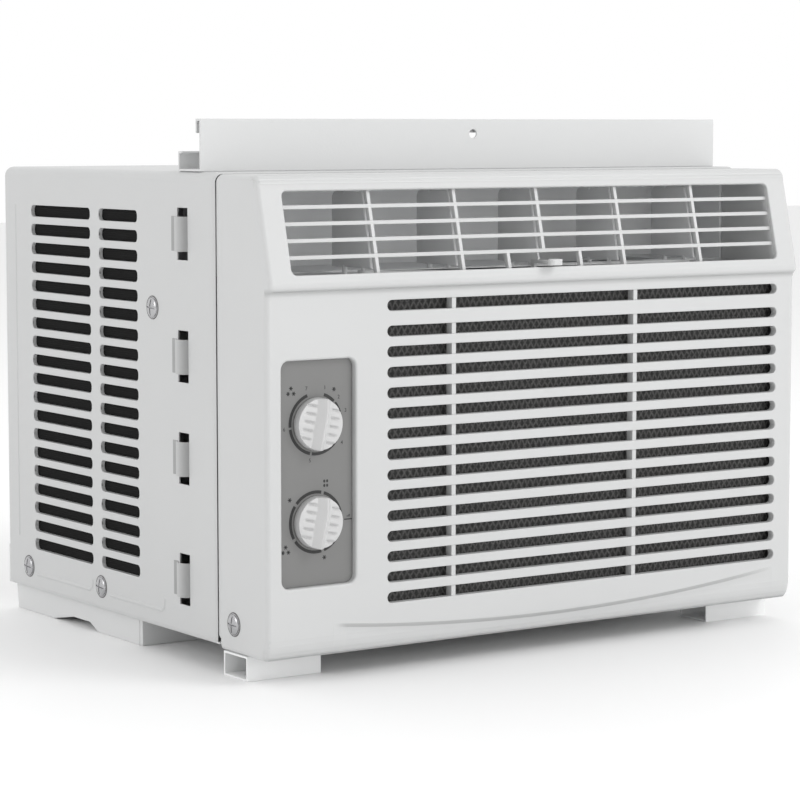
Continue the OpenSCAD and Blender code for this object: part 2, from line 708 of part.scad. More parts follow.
function foot_l() = 51.5;
function foot_d() = 27;
function foot_y() = 24;
function foot_cx() = body_w / 2 - foot_l() / 2 - 0.5;
module front_foot(s) {
    t = 1.4;
    lip = 7;
    y = foot_y();
    color(white_paint) unit() difference() {
        along_x(s * foot_cx() - foot_l() / 2, foot_l()) difference() {
            translate([y, -foot_h]) square([foot_d(), foot_h]);
            translate([y + t, -foot_h + t]) square([foot_d() - 2 * t, foot_h - 2 * t]);
        }
        for (d = [-15, 15]) rod_z(s * foot_cx() + d, y + foot_d() / 2, -t - 1, 1, screw_r + 0.2);
        for (d = [-15, 15]) rod_z(s * foot_cx() + d, y + foot_d() / 2, -foot_h - 1, -foot_h + t + 1, lip / 2);
    }
}
module front_foot_left() front_foot(-1);
module front_foot_right() front_foot(1);

module cabinet_screws() color(zinc) unit()
    for (s = [-1, 1], p = side_screws) side_screw(s, body_w / 2, p.x, p.y, 8);

module panel_screws() color(zinc) unit()
    for (s = [-1, 1]) side_screw(s, body_w / 2, panel_screw_y, screw_low_z, 8);

module rail_screws() color(zinc) unit() for (x = rail_screw_x()) {
    y = rail_y0() + rail_t + rail_gap / 2;
    rod_z(x, y, cabinet_h - 6, cabinet_h + rail_t + 0.1, screw_r);
    translate([x, y, cabinet_h + rail_t]) cylinder(h = 2.2, r1 = 4.4, r2 = 2.8);
}

module foot_screws() color(zinc) unit() for (s = [-1, 1], d = [-15, 15]) {
    x = s * foot_cx() + d;
    y = foot_y() + foot_d() / 2;
    rod_z(x, y, -1.5, pan_z + pan_t + 4, screw_r);
    translate([x, y, -3.4]) cylinder(h = 2, r1 = 2, r2 = 3.2);
}

// ---------- Bulkhead, duct and blower ----------

module bulkhead() {
    y = bulkhead_y();
    half = body_w / 2 - sheet;
    z0 = pan_z + pan_wall_h;
    hole_z = side_screws[2].y;
    color(zinc) unit() difference() {
        union() {
            block([-half, y, z0], [half, y + sheet, cabinet_h - cabinet_r]);
            block([-half + cabinet_r, y, z0], [half - cabinet_r, y + sheet, cabinet_h - sheet]);
            block([-half + pan_t, y, pan_z + pan_t], [half - pan_t, y + sheet, z0 + 1]);
            for (s = [0, 1]) mirror([s, 0, 0]) block([half - sheet, y, hole_z - 40], [half, y + 22, hole_z + 40]);
        }
        rod_y(fan_x, y - 1, y + 3, fan_z, 16);
        rod_y(pipe_x(), y - 1, y + 3, pipe_z(), 11);
        rod_y(pipe_x() + 30, y - 1, y + 3, pipe_z(), 8);
        rod_x(-body_w / 2, body_w / 2, side_screws[2].x, hole_z, screw_r + 0.2);
    }
}

// The plenum that carries the cooled air forward to the vanes
module outlet_duct() {
    half = cheek_x + 1.5;
    y0 = frame_y1 + part_gap;
    t = 3;
    color(duct_grey) unit() difference() {
        block([-half, y0, duct_z0], [half, duct_y1, duct_z1]);
        block([-half + t, y0 - 1, duct_z0 + t], [half - t, duct_y1 - t, duct_z1 - t]);
        block([fan_x + scroll_r - throat_w + scroll_wall, scroll_y0 + scroll_wall, duct_z0 - 1],
              [fan_x + scroll_r - scroll_wall, scroll_y1 - t, duct_z0 + t + 1]);
    }
}

module scroll_outline(w) {
    translate([fan_x, fan_z]) circle(scroll_r - w);
    translate([fan_x + scroll_r - throat_w + w, fan_z]) square([throat_w - 2 * w, duct_z0 - fan_z + (w > 0 ? 1 : 0)]);
}

module blower_housing() {
    color(duct_grey) unit() difference() {
        along_y(scroll_y0, scroll_y1 - scroll_y0) scroll_outline(0);
        along_y(scroll_y0 + scroll_wall, scroll_y1 - scroll_y0) scroll_outline(scroll_wall);
        rod_y(fan_x, scroll_y0 - 1, scroll_y0 + scroll_wall + 1, fan_z, blower_r - 14);
    }
}

module blower_wheel() {
    blades = 32;
    y0 = scroll_y0 + 6;
    y1 = scroll_y1 - 10;
    color(black_paint) unit() difference() {
        union() {
            rod_y(fan_x, y1 - 2, y1, fan_z, blower_r);
            rod_y(fan_x, blower_hub_y0, y1, fan_z, 11);
            difference() {
                rod_y(fan_x, y0, y0 + 3, fan_z, blower_r);
                rod_y(fan_x, y0 - 1, y0 + 4, fan_z, blower_r - 11);
            }
            translate([fan_x, 0, fan_z]) for (i = [0:blades - 1]) rotate([0, i * 360 / blades, 0])
                translate([blower_r - 6, 0, 0]) rotate([0, 25, 0]) block([-5, y0 + 1, -0.6], [4, y1 - 1, 0.6]);
        }
        rod_y(fan_x, blower_hub_y0 - 1, y1 + 1, fan_z, motor_shaft_r + slip_fit);
    }
}

module motor_shaft() {
    color(zinc) unit() rod_y(fan_x, blower_hub_y0 - 9, fan_y0 + fan_hub_l + 9, fan_z, motor_shaft_r);
}

module fan_motor() {
    color(black_paint) unit() difference() {
        union() {
            rod_y(fan_x, motor_y0 + 10, motor_y1 - 10, fan_z, motor_r);
            rod_y(fan_x, motor_y0 + 4, motor_y1 - 4, fan_z, motor_r - 8);
            rod_y(fan_x, motor_y0, motor_y1, fan_z, 14);
        }
        rod_y(fan_x, motor_y0 - 1, motor_y1 + 1, fan_z, motor_shaft_r + run_fit);
    }
}

module motor_bracket() {
    y0 = motor_y0 + 14;
    y1 = motor_y1 - 14;
    t = 2;
    z0 = pan_z + pan_t;
    color(zinc) unit() difference() {
        union() {
            block([fan_x - 30, y0, z0], [fan_x + 30, y1, z0 + t]);
            for (s = [-1, 1]) block([fan_x + s * 26 - t / 2, y0, z0], [fan_x + s * 26 + t / 2, y1, fan_z - 20]);
            rod_y(fan_x, y0, y1, fan_z, motor_r + 1.5);
        }
        rod_y(fan_x, y0 - 1, y1 + 1, fan_z, motor_r + slip_fit);
    }
}

module condenser_fan() {
    blades = 5;
    color(black_paint) unit() translate([fan_x, fan_y0, fan_z]) rotate([-90, 0, 0]) difference() {
        union() {
            cylinder(h = fan_hub_l, r = 20);
            intersection() {
                for (i = [0:blades - 1]) rotate([0, 0, i * 360 / blades]) translate([0, 0, fan_hub_l / 2])
                    rotate([28, 0, 0]) translate([15, -28, -0.9]) cube([fan_r, 56, 1.8]);
                translate([0, 0, -4]) cylinder(h = fan_hub_l + 8, r = fan_r - 1);
            }
            translate([0, 0, 6]) difference() {
                cylinder(h = 12, r = fan_r);
                translate([0, 0, -1]) cylinder(h = 14, r = fan_r - 2);
            }
        }
        translate([0, 0, -1]) cylinder(h = fan_hub_l + 2, r = motor_shaft_r + slip_fit);
    }
}

module shaft_nuts() color(zinc) unit() for (y = [blower_hub_y0 - 7, fan_y0 + fan_hub_l]) difference() {
    translate([fan_x, y + 6.5, fan_z]) rotate([90, 0, 0]) cylinder(h = 6, r = 8, $fn = 6);
    rod_y(fan_x, y - 1, y + 8, fan_z, motor_shaft_r + slip_fit);
}

module fan_shroud() {
    x0 = cond_x0;
    x1 = cond_x1;
    z0 = pan_z + pan_t + 1;
    z1 = cond_z1;
    t = shroud_t;
    color(black_paint) unit() difference() {
        union() {
            block([x0, shroud_y, z0], [x1, shroud_y + t, z1]);
            rod_y(fan_x, shroud_y - 12, shroud_y + t, fan_z, collar_r + t);
            difference() {
                block([x0, shroud_y, z0], [x1, cond_y0, z1]);
                block([x0 + t, shroud_y + t, z0 - 1], [x1 - t, cond_y0 + 1, z1 - t]);
            }
        }
        rod_y(fan_x, shroud_y - 13, shroud_y + t + 1, fan_z, collar_r);
    }
}

// ---------- Coils ----------

// Straight runs of one serpentine coil, with return bends swaged over their ends
module coil_tubes(x0, x1, y, z0, pitch, rows) {
    socket = 2;
    for (i = [0:rows - 1]) rod_x(x0, x1, y, z0 + (i + 0.5) * pitch, tube_r);
    for (i = [0:rows - 2]) {
        right = i % 2 == 0;
        translate([right ? x1 - socket : x0 + socket, y, z0 + (i + 1) * pitch]) rotate([90, 0, 0])
            rotate_extrude(angle = 180, start = right ? -90 : 90) translate([pitch / 2, 0]) circle(tube_r + 0.5);
    }
}

module coil_bores(x0, x1, y, z0, pitch, rows)
    for (i = [0:rows - 1]) rod_x(x0, x1, y, z0 + (i + 0.5) * pitch, tube_r + slip_fit);

module condenser_fins() color(fin_metal) unit() difference() {
    block([cond_x0 + end_plate_t, cond_y0, cond_z0], [cond_x1 - end_plate_t, cond_y0 + cond_t, cond_z1]);
    coil_bores(cond_x0, cond_x1, cond_y0 + cond_t / 2, cond_z0, cond_pitch, cond_rows);
}

module condenser_tubes() color(copper) unit()
    coil_tubes(cond_x0 - 3, cond_x1 + 3, cond_y0 + cond_t / 2, cond_z0, cond_pitch, cond_rows);

module condenser_plates() color(zinc) unit() difference() {
    for (x = [cond_x0, cond_x1 - end_plate_t])
        block([x, cond_y0, pan_z + pan_t], [x + end_plate_t, cond_y0 + cond_t, cond_z1]);
    coil_bores(cond_x0 - 1, cond_x1 + 1, cond_y0 + cond_t / 2, cond_z0, cond_pitch, cond_rows);
}

module evaporator_fins() color(fin_metal) unit() difference() {
    block([evap_x0 + end_plate_t, evap_y0, evap_z0], [evap_x1 - end_plate_t, evap_y0 + evap_t, evap_z1]);
    coil_bores(evap_x0, evap_x1, evap_y0 + evap_t / 2, evap_z0, evap_pitch, evap_rows);
}

module evaporator_tubes() color(copper) unit()
    coil_tubes(evap_x0 - 3, evap_x1 + 3, evap_y0 + evap_t / 2, evap_z0, evap_pitch, evap_rows);

module evaporator_plates() color(zinc) unit() difference() {
    for (x = [evap_x0, evap_x1 - end_plate_t])
        block([x, evap_y0, evap_z0], [x + end_plate_t, evap_y0 + evap_t, evap_z1]);
    coil_bores(evap_x0 - 1, evap_x1 + 1, evap_y0 + evap_t / 2, evap_z0, evap_pitch, evap_rows);
}

// Catches the water that drips off the evaporator and leads it back into the pan
module drain_tray() {
    x0 = evap_x0 - 16;
    x1 = body_w / 2 - wall - pan_t - 6;
    y0 = pan_y0 + pan_t + 0.5;
    y1 = panel_d - 3;
    z0 = pan_z + pan_t;
    t = 2;
    color(black_paint) unit() difference() {
        block([x0, y0, z0 + 5], [x1, y1, evap_z0]);
        block([x0 + t, y0 + t, z0 + 5 + t], [x1 - t, y1 - t, evap_z0 - 2]);
        block([evap_x0 - 1, evap_y0 + 2, evap_z0 - 3], [evap_x1 + 1, evap_y0 + evap_t - 2, evap_z0 + 1]);
        block([x0 + 10, y1 - 5, z0 + 8], [x0 + 30, y1 + 1, z0 + 12]);
    }
    color(black_paint) unit() for (x = [x0 + 6, x1 - 12]) block([x, y0 + 4, z0], [x + 6, y1 - 4, z0 + 5.1]);
}

// ---------- Compressor and refrigerant lines ----------

function stud_angles() = [90, 210, 330];

module compressor_shell() {
    r = comp_r - 8;
    z0 = comp_z + comp_foot_t;
    dome = 16;
    t = 3;
    module half(w) polygon(concat(
        [[0, w]], [for (a = [0:15:90]) [(r - w) * cos(a - 90) , dome - (dome - w) * cos(a)]],
        [for (a = [0:15:90]) [(r - w) * cos(a), comp_h - dome - comp_foot_t + (dome - w) * sin(a)]],
        [[0, comp_h - comp_foot_t - w]]));
    color(black_paint) unit() translate([comp_x, comp_y, z0]) rotate_extrude() difference() {
        half(0);
        half(t);
    }
}

module compressor_feet() {
    color(black_paint) unit() difference() {
        translate([comp_x, comp_y, comp_z]) linear_extrude(comp_foot_t) union() {
            circle(comp_r - 14);
            for (a = stud_angles()) rotate(a) translate([comp_foot_r / 2, 0]) square([comp_foot_r, 20], center = true);
            for (a = stud_angles()) translate([comp_foot_r * cos(a), comp_foot_r * sin(a)]) circle(12);
        }
        for (a = stud_angles()) rod_z(comp_x + comp_foot_r * cos(a), comp_y + comp_foot_r * sin(a),
                                      comp_z - 1, comp_z + comp_foot_t + 1, 6 + slip_fit);
    }
}

module compressor_grommets() color(rubber_black) unit() for (a = stud_angles())
    translate([comp_x + comp_foot_r * cos(a), comp_y + comp_foot_r * sin(a), 0]) difference() {
        union() {
            rod_z(0, 0, pan_z + pan_t, comp_z, grommet_r);
            rod_z(0, 0, comp_z - 1, comp_z + comp_foot_t + 0.5, 6);
            rod_z(0, 0, comp_z + comp_foot_t, comp_z + comp_foot_t + 4, grommet_r - 1);
        }
        rod_z(0, 0, pan_z - 1, comp_z + comp_foot_t + 5, stud_r + slip_fit);
    }

module compressor_nuts() color(zinc) unit() for (a = stud_angles())
    translate([comp_x + comp_foot_r * cos(a), comp_y + comp_foot_r * sin(a), 0]) {
        rod_z(0, 0, pan_z - boss_h + 2.5, comp_z + comp_foot_t + 12, stud_r);
        translate([0, 0, comp_z + comp_foot_t + 4]) cylinder(h = 5, r = 5.5, $fn = 6);
    }

module terminal_cover() {
    y = comp_y - comp_r + 8;
    z = comp_z + 96;
    color(black_paint) unit() difference() {
        block([comp_x - 18, y - 18, z], [comp_x + 18, y + 4, z + 44]);
        rod_z(comp_x, comp_y, z - 1, z + 45, comp_r - 8 + 0.3);
    }
}

module accumulator() {
    h = accumulator_h;
    color(black_paint) unit() translate([accumulator_x, accumulator_y, accumulator_z1 - h]) rotate_extrude()
        polygon([[0, 0], [6, 0], [accumulator_r, 12], [accumulator_r, h - 12], [6, h], [0, h]]);
}

function pipe_x() = evap_x0 - 16;
function pipe_z() = evap_z0 + 6.5 * evap_pitch;

// Evaporator outlet back to the accumulator
module suction_pipe() color(copper) unit() {
    y = evap_y0 + evap_t / 2;
    low_z = evap_z0 + 7.5 * evap_pitch;
    swept_tube([[evap_x0 - 3, y, low_z], [pipe_x(), y, low_z], [pipe_x(), y + 20, pipe_z()],
                [pipe_x(), bulkhead_y() + 12, pipe_z()], [accumulator_x, bulkhead_y() + 12, pipe_z()],
                [accumulator_x, accumulator_y, pipe_z() + 8],
                [accumulator_x, accumulator_y, accumulator_z1]], 4.5, 8);
}

// Compressor head to the top of the condenser
module discharge_pipe() color(copper) unit() {
    x = cond_x0 - 3;
    y = cond_y0 + cond_t / 2;
    z = cond_z0 + (cond_rows - 0.5) * cond_pitch;
    top = comp_z + comp_h;
    swept_tube([[comp_x, comp_y, top], [comp_x, comp_y, top + 22], [comp_x - 40, comp_y, top + 30],
                [x - 16, comp_y + 20, z - 10], [x - 16, y, z], [x, y, z]], 3.2, 8);
}

// Condenser outlet forward to the drier
module liquid_pipe() color(copper) unit() {
    x = cond_x0 - 3;
    y = cond_y0 + cond_t / 2;
    z = cond_z0 + 0.5 * cond_pitch;
    swept_tube([[x, y, z], [x - 14, y, z], [x - 14, y - 22, z + 22],
                [drier_x(), drier_y() + 26, z + 40], [drier_x(), drier_y() + 26, drier_z() - 26]], 3.2, 8);
}

function drier_x() = -body_w / 2 + sheet + 14;
function drier_y() = comp_y + comp_r - 20;
function drier_z() = comp_z + 110;

module filter_drier() color(copper) unit()
    translate([drier_x(), drier_y() + 26, drier_z() - 26]) rotate_extrude()
        polygon([[0, 0], [4, 0], [9, 8], [9, 66], [3, 76], [0, 76]]);

// A few loose turns of capillary tube between the drier and the evaporator
module capillary_tube() color(copper) unit() {
    turns = 3;
    x = drier_x();
    y = drier_y() + 26;
    z = drier_z() + 50;
    y0 = bulkhead_y() + 24;
    coil = [for (a = [0:36:360 * turns]) [pipe_x() + 30 - 12 * sin(a), y0 + 2 - a / 110, pipe_z() + 34 - 12 * cos(a)]];
    lead = eased([[x, y, z], [x, y, z + 12], [x + 8, y0 + 20, z + 24], [pipe_x() + 50, y0 + 2, pipe_z() + 22], coil[0]], 8);
    tail = eased([coil[len(coil) - 1], [pipe_x() + 22, y0 - 8, pipe_z() + 22],
                  [pipe_x() + 30, bulkhead_y() + 4.5, pipe_z() + 12], [pipe_x() + 30, bulkhead_y() + 4.5, pipe_z() + 2],
                  [pipe_x() + 30, bulkhead_y() - 10, pipe_z()], [pipe_x(), evap_y0 + evap_t + 10, evap_z0 + evap_pitch],
                  [evap_x0 - 12, evap_y0 + evap_t / 2, evap_z0 + evap_pitch / 2],
                  [evap_x0 - 3, evap_y0 + evap_t / 2, evap_z0 + evap_pitch / 2]], 5);
    tube_along(concat(lead, [for (i = [1:len(coil) - 1]) coil[i]], [for (i = [1:len(tail) - 1]) tail[i]]), 1.2, 6);
}

module sensing_bulb() color(copper) unit() {
    y = evap_y0 + evap_t + 3.4;
    z = knob_z[0] + 6;
    rod_x(evap_x0 + 10, evap_x0 + 90, y, z, 3);
    swept_tube([[evap_x0 + 10, y, z], [box_x1 + 4, y, z + 12], [box_x1 + 4, y + 12, z + 40]], 0.9, 4, 8);
}

module wiring() color(rubber_black) unit() {
    y0 = panel_d - 5;
    z0 = plate_cz - plate_h / 2 + 10;
    x0 = box_x1 - 12;
    swept_tube([[x0, y0 - 8, z0], [x0, y0 + 20, z0], [x0, y0 + 30, z0 - 4]], 3.4, 8);
}

function gland_r() = 8;
function gland_y() = panel_d + 14;
function gland_z() = 46;
module cord_gland() color(rubber_black) unit() difference() {
    union() {
        rod_x(body_w / 2 - 4, body_w / 2 + 0.1, gland_y(), gland_z(), gland_r() - slip_fit);
        rod_x(body_w / 2, body_w / 2 + 4, gland_y(), gland_z(), gland_r() + 3);
        rod_x(body_w / 2 - 5, body_w / 2 - sheet, gland_y(), gland_z(), gland_r() + 1.5);
    }
    rod_x(body_w / 2 - 6, body_w / 2 + 5, gland_y(), gland_z(), 4);
}

// ---------- The pieces ----------

front_panel();
outlet_grille();
vane_1();
vane_2();
vane_3();
vane_4();
vane_5();
vane_link();
filter_frame();
filter_mesh();
control_plate();
temperature_knob();
mode_knob();
thermostat();
thermostat_shaft();
selector_switch();
selector_shaft();
control_box();
capacitor();
capacitor_clamp();
cabinet();
base_pan();
sash_rail();
front_foot_left();
front_foot_right();
cabinet_screws();
panel_screws();
rail_screws();
foot_screws();
bulkhead();
outlet_duct();
blower_housing();
blower_wheel();
motor_shaft();
fan_motor();
motor_bracket();
condenser_fan();
shaft_nuts();
fan_shroud();
condenser_fins();
condenser_tubes();
condenser_plates();
evaporator_fins();
evaporator_tubes();
evaporator_plates();
drain_tray();
compressor_shell();
compressor_feet();
compressor_grommets();
compressor_nuts();
terminal_cover();
accumulator();
suction_pipe();
discharge_pipe();
liquid_pipe();
filter_drier();
capillary_tube();
sensing_bulb();
wiring();
cord_gland();
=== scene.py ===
# A window air conditioner with mechanical controls, seen from its front left corner.
# Each section makes one piece, or a group of like pieces, in the order of assembly.
import json
import math
import bpy
from mathutils import Matrix, Vector


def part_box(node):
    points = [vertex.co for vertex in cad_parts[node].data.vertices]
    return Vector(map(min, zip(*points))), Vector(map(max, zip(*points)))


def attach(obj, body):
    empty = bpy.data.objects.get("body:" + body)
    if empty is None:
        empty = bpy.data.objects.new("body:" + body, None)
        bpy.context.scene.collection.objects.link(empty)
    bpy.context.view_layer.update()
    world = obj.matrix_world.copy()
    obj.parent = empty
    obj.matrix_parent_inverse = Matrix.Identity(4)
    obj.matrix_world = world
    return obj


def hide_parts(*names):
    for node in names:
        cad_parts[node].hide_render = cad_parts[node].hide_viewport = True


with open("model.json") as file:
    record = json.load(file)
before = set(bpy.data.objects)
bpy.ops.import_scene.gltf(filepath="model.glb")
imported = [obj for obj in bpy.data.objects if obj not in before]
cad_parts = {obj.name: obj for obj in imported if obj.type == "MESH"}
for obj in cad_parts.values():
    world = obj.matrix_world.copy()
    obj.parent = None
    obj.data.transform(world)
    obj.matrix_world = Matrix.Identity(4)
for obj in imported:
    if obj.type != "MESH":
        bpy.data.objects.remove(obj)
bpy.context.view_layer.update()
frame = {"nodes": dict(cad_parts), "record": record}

# ---------- Camera, light and floor ----------
# The unit stands on a plain white floor in front of a white backdrop, in a room that is greyer in
# front. A large soft lamp at the front right models the plastic, and a low one opens the outlet.
mm = 0.001
look_at = Vector((-109.93, -164.0, 163.89)) * mm
camera_turn = math.radians(-34.283)
camera_rise = math.radians(5.641)
camera_reach = 1651.6 * mm
toward_camera = Vector((math.sin(camera_turn) * math.cos(camera_rise),
                        -math.cos(camera_turn) * math.cos(camera_rise),
                        math.sin(camera_rise)))
camera = bpy.data.objects.new("camera", bpy.data.cameras.new("camera"))
camera.data.lens = 124.95
camera.data.sensor_width = 36
camera.data.clip_start = 0.05
camera.data.clip_end = 30
camera.location = look_at + camera_reach * toward_camera
camera.rotation_euler = (-toward_camera).to_track_quat("-Z", "Y").to_euler()
bpy.context.scene.collection.objects.link(camera)
bpy.context.scene.camera = camera
bpy.context.scene.view_settings.view_transform = "Standard"


def lamp(name, place, size, power):
    """A square soft lamp that faces the middle of the unit."""
    light = bpy.data.lights.new(name, "AREA")
    light.size = size
    light.energy = power
    piece = bpy.data.objects.new(name, light)
    piece.location = place
    piece.rotation_euler = (Vector((0, 0, 0.14)) - Vector(place)).to_track_quat("-Z", "Y").to_euler()
    bpy.context.scene.collection.objects.link(piece)


lamp("key_lamp", (1.3, -2.0, 1.9), 1.2, 24)
lamp("fill_lamp", (0.5, -2.6, 0.4), 1.4, 14)
lamp("side_lamp", (-2.6, 0.4, 1.0), 1.2, 9)
lamp("top_lamp", (0.2, 0.9, 2.2), 1.6, 5)

sky = bpy.data.worlds.new("sky")
sky.use_nodes = True
sky_place = sky.node_tree.nodes.new("ShaderNodeTexCoord")
sky_split = sky.node_tree.nodes.new("ShaderNodeSeparateXYZ")
sky_ramp = sky.node_tree.nodes.new("ShaderNodeValToRGB")
sky_ramp.color_ramp.elements[0].position = 0.0
sky_ramp.color_ramp.elements[0].color = (1, 1, 1, 1)
sky_ramp.color_ramp.elements[1].position = 0.5
sky_ramp.color_ramp.elements[1].color = (0.7, 0.7, 0.7, 1)
sky_turn = sky.node_tree.nodes.new("ShaderNodeMath")
sky_turn.operation = "MULTIPLY"
sky_turn.inputs[1].default_value = -1.0
sky.node_tree.links.new(sky_place.outputs["Generated"], sky_split.inputs[0])
sky.node_tree.links.new(sky_split.outputs[1], sky_turn.inputs[0])
sky.node_tree.links.new(sky_turn.outputs[0], sky_ramp.inputs[0])
sky.node_tree.links.new(sky_ramp.outputs[0], sky.node_tree.nodes["Background"].inputs["Color"])
sky.node_tree.nodes["Background"].inputs["Strength"].default_value = 1.0
bpy.context.scene.world = sky


class Reading:
    """One output of a shader node, so that sums on it are written as ordinary expressions."""

    def __init__(self, socket):
        self.socket = socket

    def maths(self, operation, *values):
        tree = self.socket.id_data
        made = tree.nodes.new("ShaderNodeMath")
        made.operation = operation
        for entry, value in zip(made.inputs, values):
            if isinstance(value, Reading):
                tree.links.new(value.socket, entry)
            else:
                entry.default_value = value
        return Reading(made.outputs[0])

    def __add__(self, other):
        return self.maths("ADD", self, other)

    def __radd__(self, other):
        return self.maths("ADD", other, self)

    def __sub__(self, other):
        return self.maths("SUBTRACT", self, other)

    def __rsub__(self, other):
        return self.maths("SUBTRACT", other, self)

    def __mul__(self, other):
        return self.maths("MULTIPLY", self, other)

    def __rmul__(self, other):
        return self.maths("MULTIPLY", other, self)

    def __truediv__(self, other):
        return self.maths("DIVIDE", self, other)

    def __pow__(self, other):
        return self.maths("POWER", self, other)

    def __abs__(self):
        return self.maths("ABSOLUTE", self)

    def __lt__(self, other):
        return self.maths("LESS_THAN", self, other)

    def __gt__(self, other):
        return self.maths("GREATER_THAN", self, other)

    def wave(self, pitch):
        """A sine wave from 0 to 1 with this pitch."""
        return self.maths("SINE", self * (math.tau / pitch)) * 0.5 + 0.5

    def least(self, other):
        return self.maths("MINIMUM", self, other)

    def most(self, other):
        return self.maths("MAXIMUM", self, other)


class Finish:
    """A procedural surface finish, built node by node on a Principled shader."""

    def __init__(self, name, roughness=0.5, metallic=0.0):
        self.material = bpy.data.materials.new(name)
        self.material.use_nodes = True
        self.tree = self.material.node_tree
        self.shader = self.tree.nodes["Principled BSDF"]
        self.shader.inputs["Roughness"].default_value = roughness
        self.shader.inputs["Metallic"].default_value = metallic
        self.place = self.node("TexCoord", out="Object")

    def node(self, kind, settings=None, values=None, out=0):
        """Adds a node, makes its settings, fills or joins its inputs, and reads one output."""
        made = self.tree.nodes.new("ShaderNode" + kind)
        for key, value in (settings or {}).items():
            if key == "stops":
                for element, (position, colour) in zip(made.color_ramp.elements, value):
                    element.position = position
                    element.color = colour
            else:
                setattr(made, key, value)
        for key, value in (values or {}).items():
            self.join(value, made.inputs[key])
        return Reading(made.outputs[out])

    def join(self, value, entry):
        if isinstance(value, Reading):
            self.tree.links.new(value.socket, entry)
        else:
            entry.default_value = value

    def along(self, axis):
        """The place along X, Y or Z, as 0, 1 or 2, in metres."""
        return self.node("SeparateXYZ", {}, {0: self.place}, out=axis)

    def noise(self, pitch):
        """Noise of a given grain size in metres."""
        return self.node("TexNoise", {}, {"Vector": self.place, "Scale": 1 / pitch, "Detail": 2})

    def shades(self, factor, dark, light):
        """A colour between two, and it feeds the base colour."""
        colour = self.node("Mix", {"data_type": "RGBA"}, {0: factor, 6: (*dark, 1), 7: (*light, 1)}, out=2)
        self.join(colour, self.shader.inputs["Base Color"])
        return colour

    def rough(self, value):
        self.join(value, self.shader.inputs["Roughness"])

    def relief(self, height, depth, strength=1.0):
        """Raises the surface by a height from 0 to 1, so many metres deep."""
        bump = self.node("Bump", {}, {"Height": height, "Distance": depth, "Strength": strength})
        self.join(bump, self.shader.inputs["Normal"])


def painted(piece, finish):
    """Gives a piece one finish all over."""
    piece.data.materials.clear()
    piece.data.materials.append(finish.material)


floor_finish = Finish("floor_white", roughness=0.6)
floor_finish.shades(floor_finish.noise(0.4), (0.92, 0.92, 0.92), (0.94, 0.94, 0.94))
bpy.ops.mesh.primitive_plane_add(size=14, location=(0, 0, 0))
floor = bpy.context.active_object
floor.name = "floor"
painted(floor, floor_finish)

# ---------- Front panel ----------
# The bezel is one injection moulding in white plastic with a fine grain. The outlet band leans
# back over a small ledge, the corners are rounded, and a smile-shaped crease crosses the chin.
face_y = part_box("front_panel")[0].y + 4 * mm
sill = 15 * mm
half_width = 203
panel_wall = 2.5
panel_top = 283
band_low = 218
band_slope = 16 / 65
crown = 6


def place_of(x, y, z):
    """A point from millimetres right of the middle, behind the lower face and over the panel's edge."""
    return Vector((x * mm, face_y + y * mm, sill + z * mm))


def only(piece):
    """Makes a piece the one selected thing."""
    if bpy.context.mode != "OBJECT":
        bpy.ops.object.mode_set(mode="OBJECT")
    bpy.ops.object.select_all(action="DESELECT")
    piece.select_set(True)
    bpy.context.view_layer.objects.active = piece


def all_of(piece):
    """Opens a piece in edit mode with everything in it selected."""
    only(piece)
    bpy.ops.object.mode_set(mode="EDIT")
    bpy.ops.mesh.select_all(action="SELECT")


def done():
    """Closes edit mode."""
    bpy.ops.object.mode_set(mode="OBJECT")


def face_outwards():
    """Points every face of the open piece outwards, and closes edit mode."""
    bpy.ops.mesh.select_all(action="SELECT")
    bpy.ops.mesh.normals_make_consistent(inside=False)
    done()


def finish_modifiers(piece):
    only(piece)
    for modifier in list(piece.modifiers):
        bpy.ops.object.modifier_apply(modifier=modifier.name)


def combine(piece, other, operation="DIFFERENCE"):
    """Cuts another solid out of a piece, or adds it, and throws the other away."""
    step = piece.modifiers.new("combine", "BOOLEAN")
    step.operation = operation
    step.solver = "EXACT"
    step.object = other
    finish_modifiers(piece)
    bpy.data.objects.remove(other)


def joined(name, pieces):
    """Several meshes as one piece."""
    only(pieces[0])
    for piece in pieces:
        piece.select_set(True)
    bpy.ops.object.join()
    pieces[0].name = name
    return pieces[0]


def copied(piece, shift=(0, 0, 0)):
    """A copy of a piece with its own mesh, moved."""
    twin = piece.copy()
    twin.data = piece.data.copy()
    twin.data.transform(Matrix.Translation(shift))
    bpy.context.scene.collection.objects.link(twin)
    return twin


def shaded(piece, angle=35):
    """Rounds catch the light smoothly, and flat faces stay flat."""
    only(piece)
    bpy.ops.object.shade_smooth_by_angle(angle=math.radians(angle))
    weights = piece.modifiers.new("weights", "WEIGHTED_NORMAL")
    weights.weight = 100
    weights.keep_sharp = True
    finish_modifiers(piece)


def soften(piece, radius, steps=2, angle=35, smooth=True):
    """Breaks every sharp edge with a small round."""
    rounding = piece.modifiers.new("rounding", "BEVEL")
    rounding.width = radius
    rounding.segments = steps
    rounding.limit_method = "ANGLE"
    rounding.angle_limit = math.radians(angle)
    rounding.use_clamp_overlap = False
    finish_modifiers(piece)
    if smooth:
        shaded(piece)


def block(low, high):
    """A box between two corners."""
    bpy.ops.mesh.primitive_cube_add(size=1)
    made = bpy.context.active_object
    for vertex in made.data.vertices:
        for axis in range(3):
            vertex.co[axis] = high[axis] if vertex.co[axis] > 0 else low[axis]
    return made


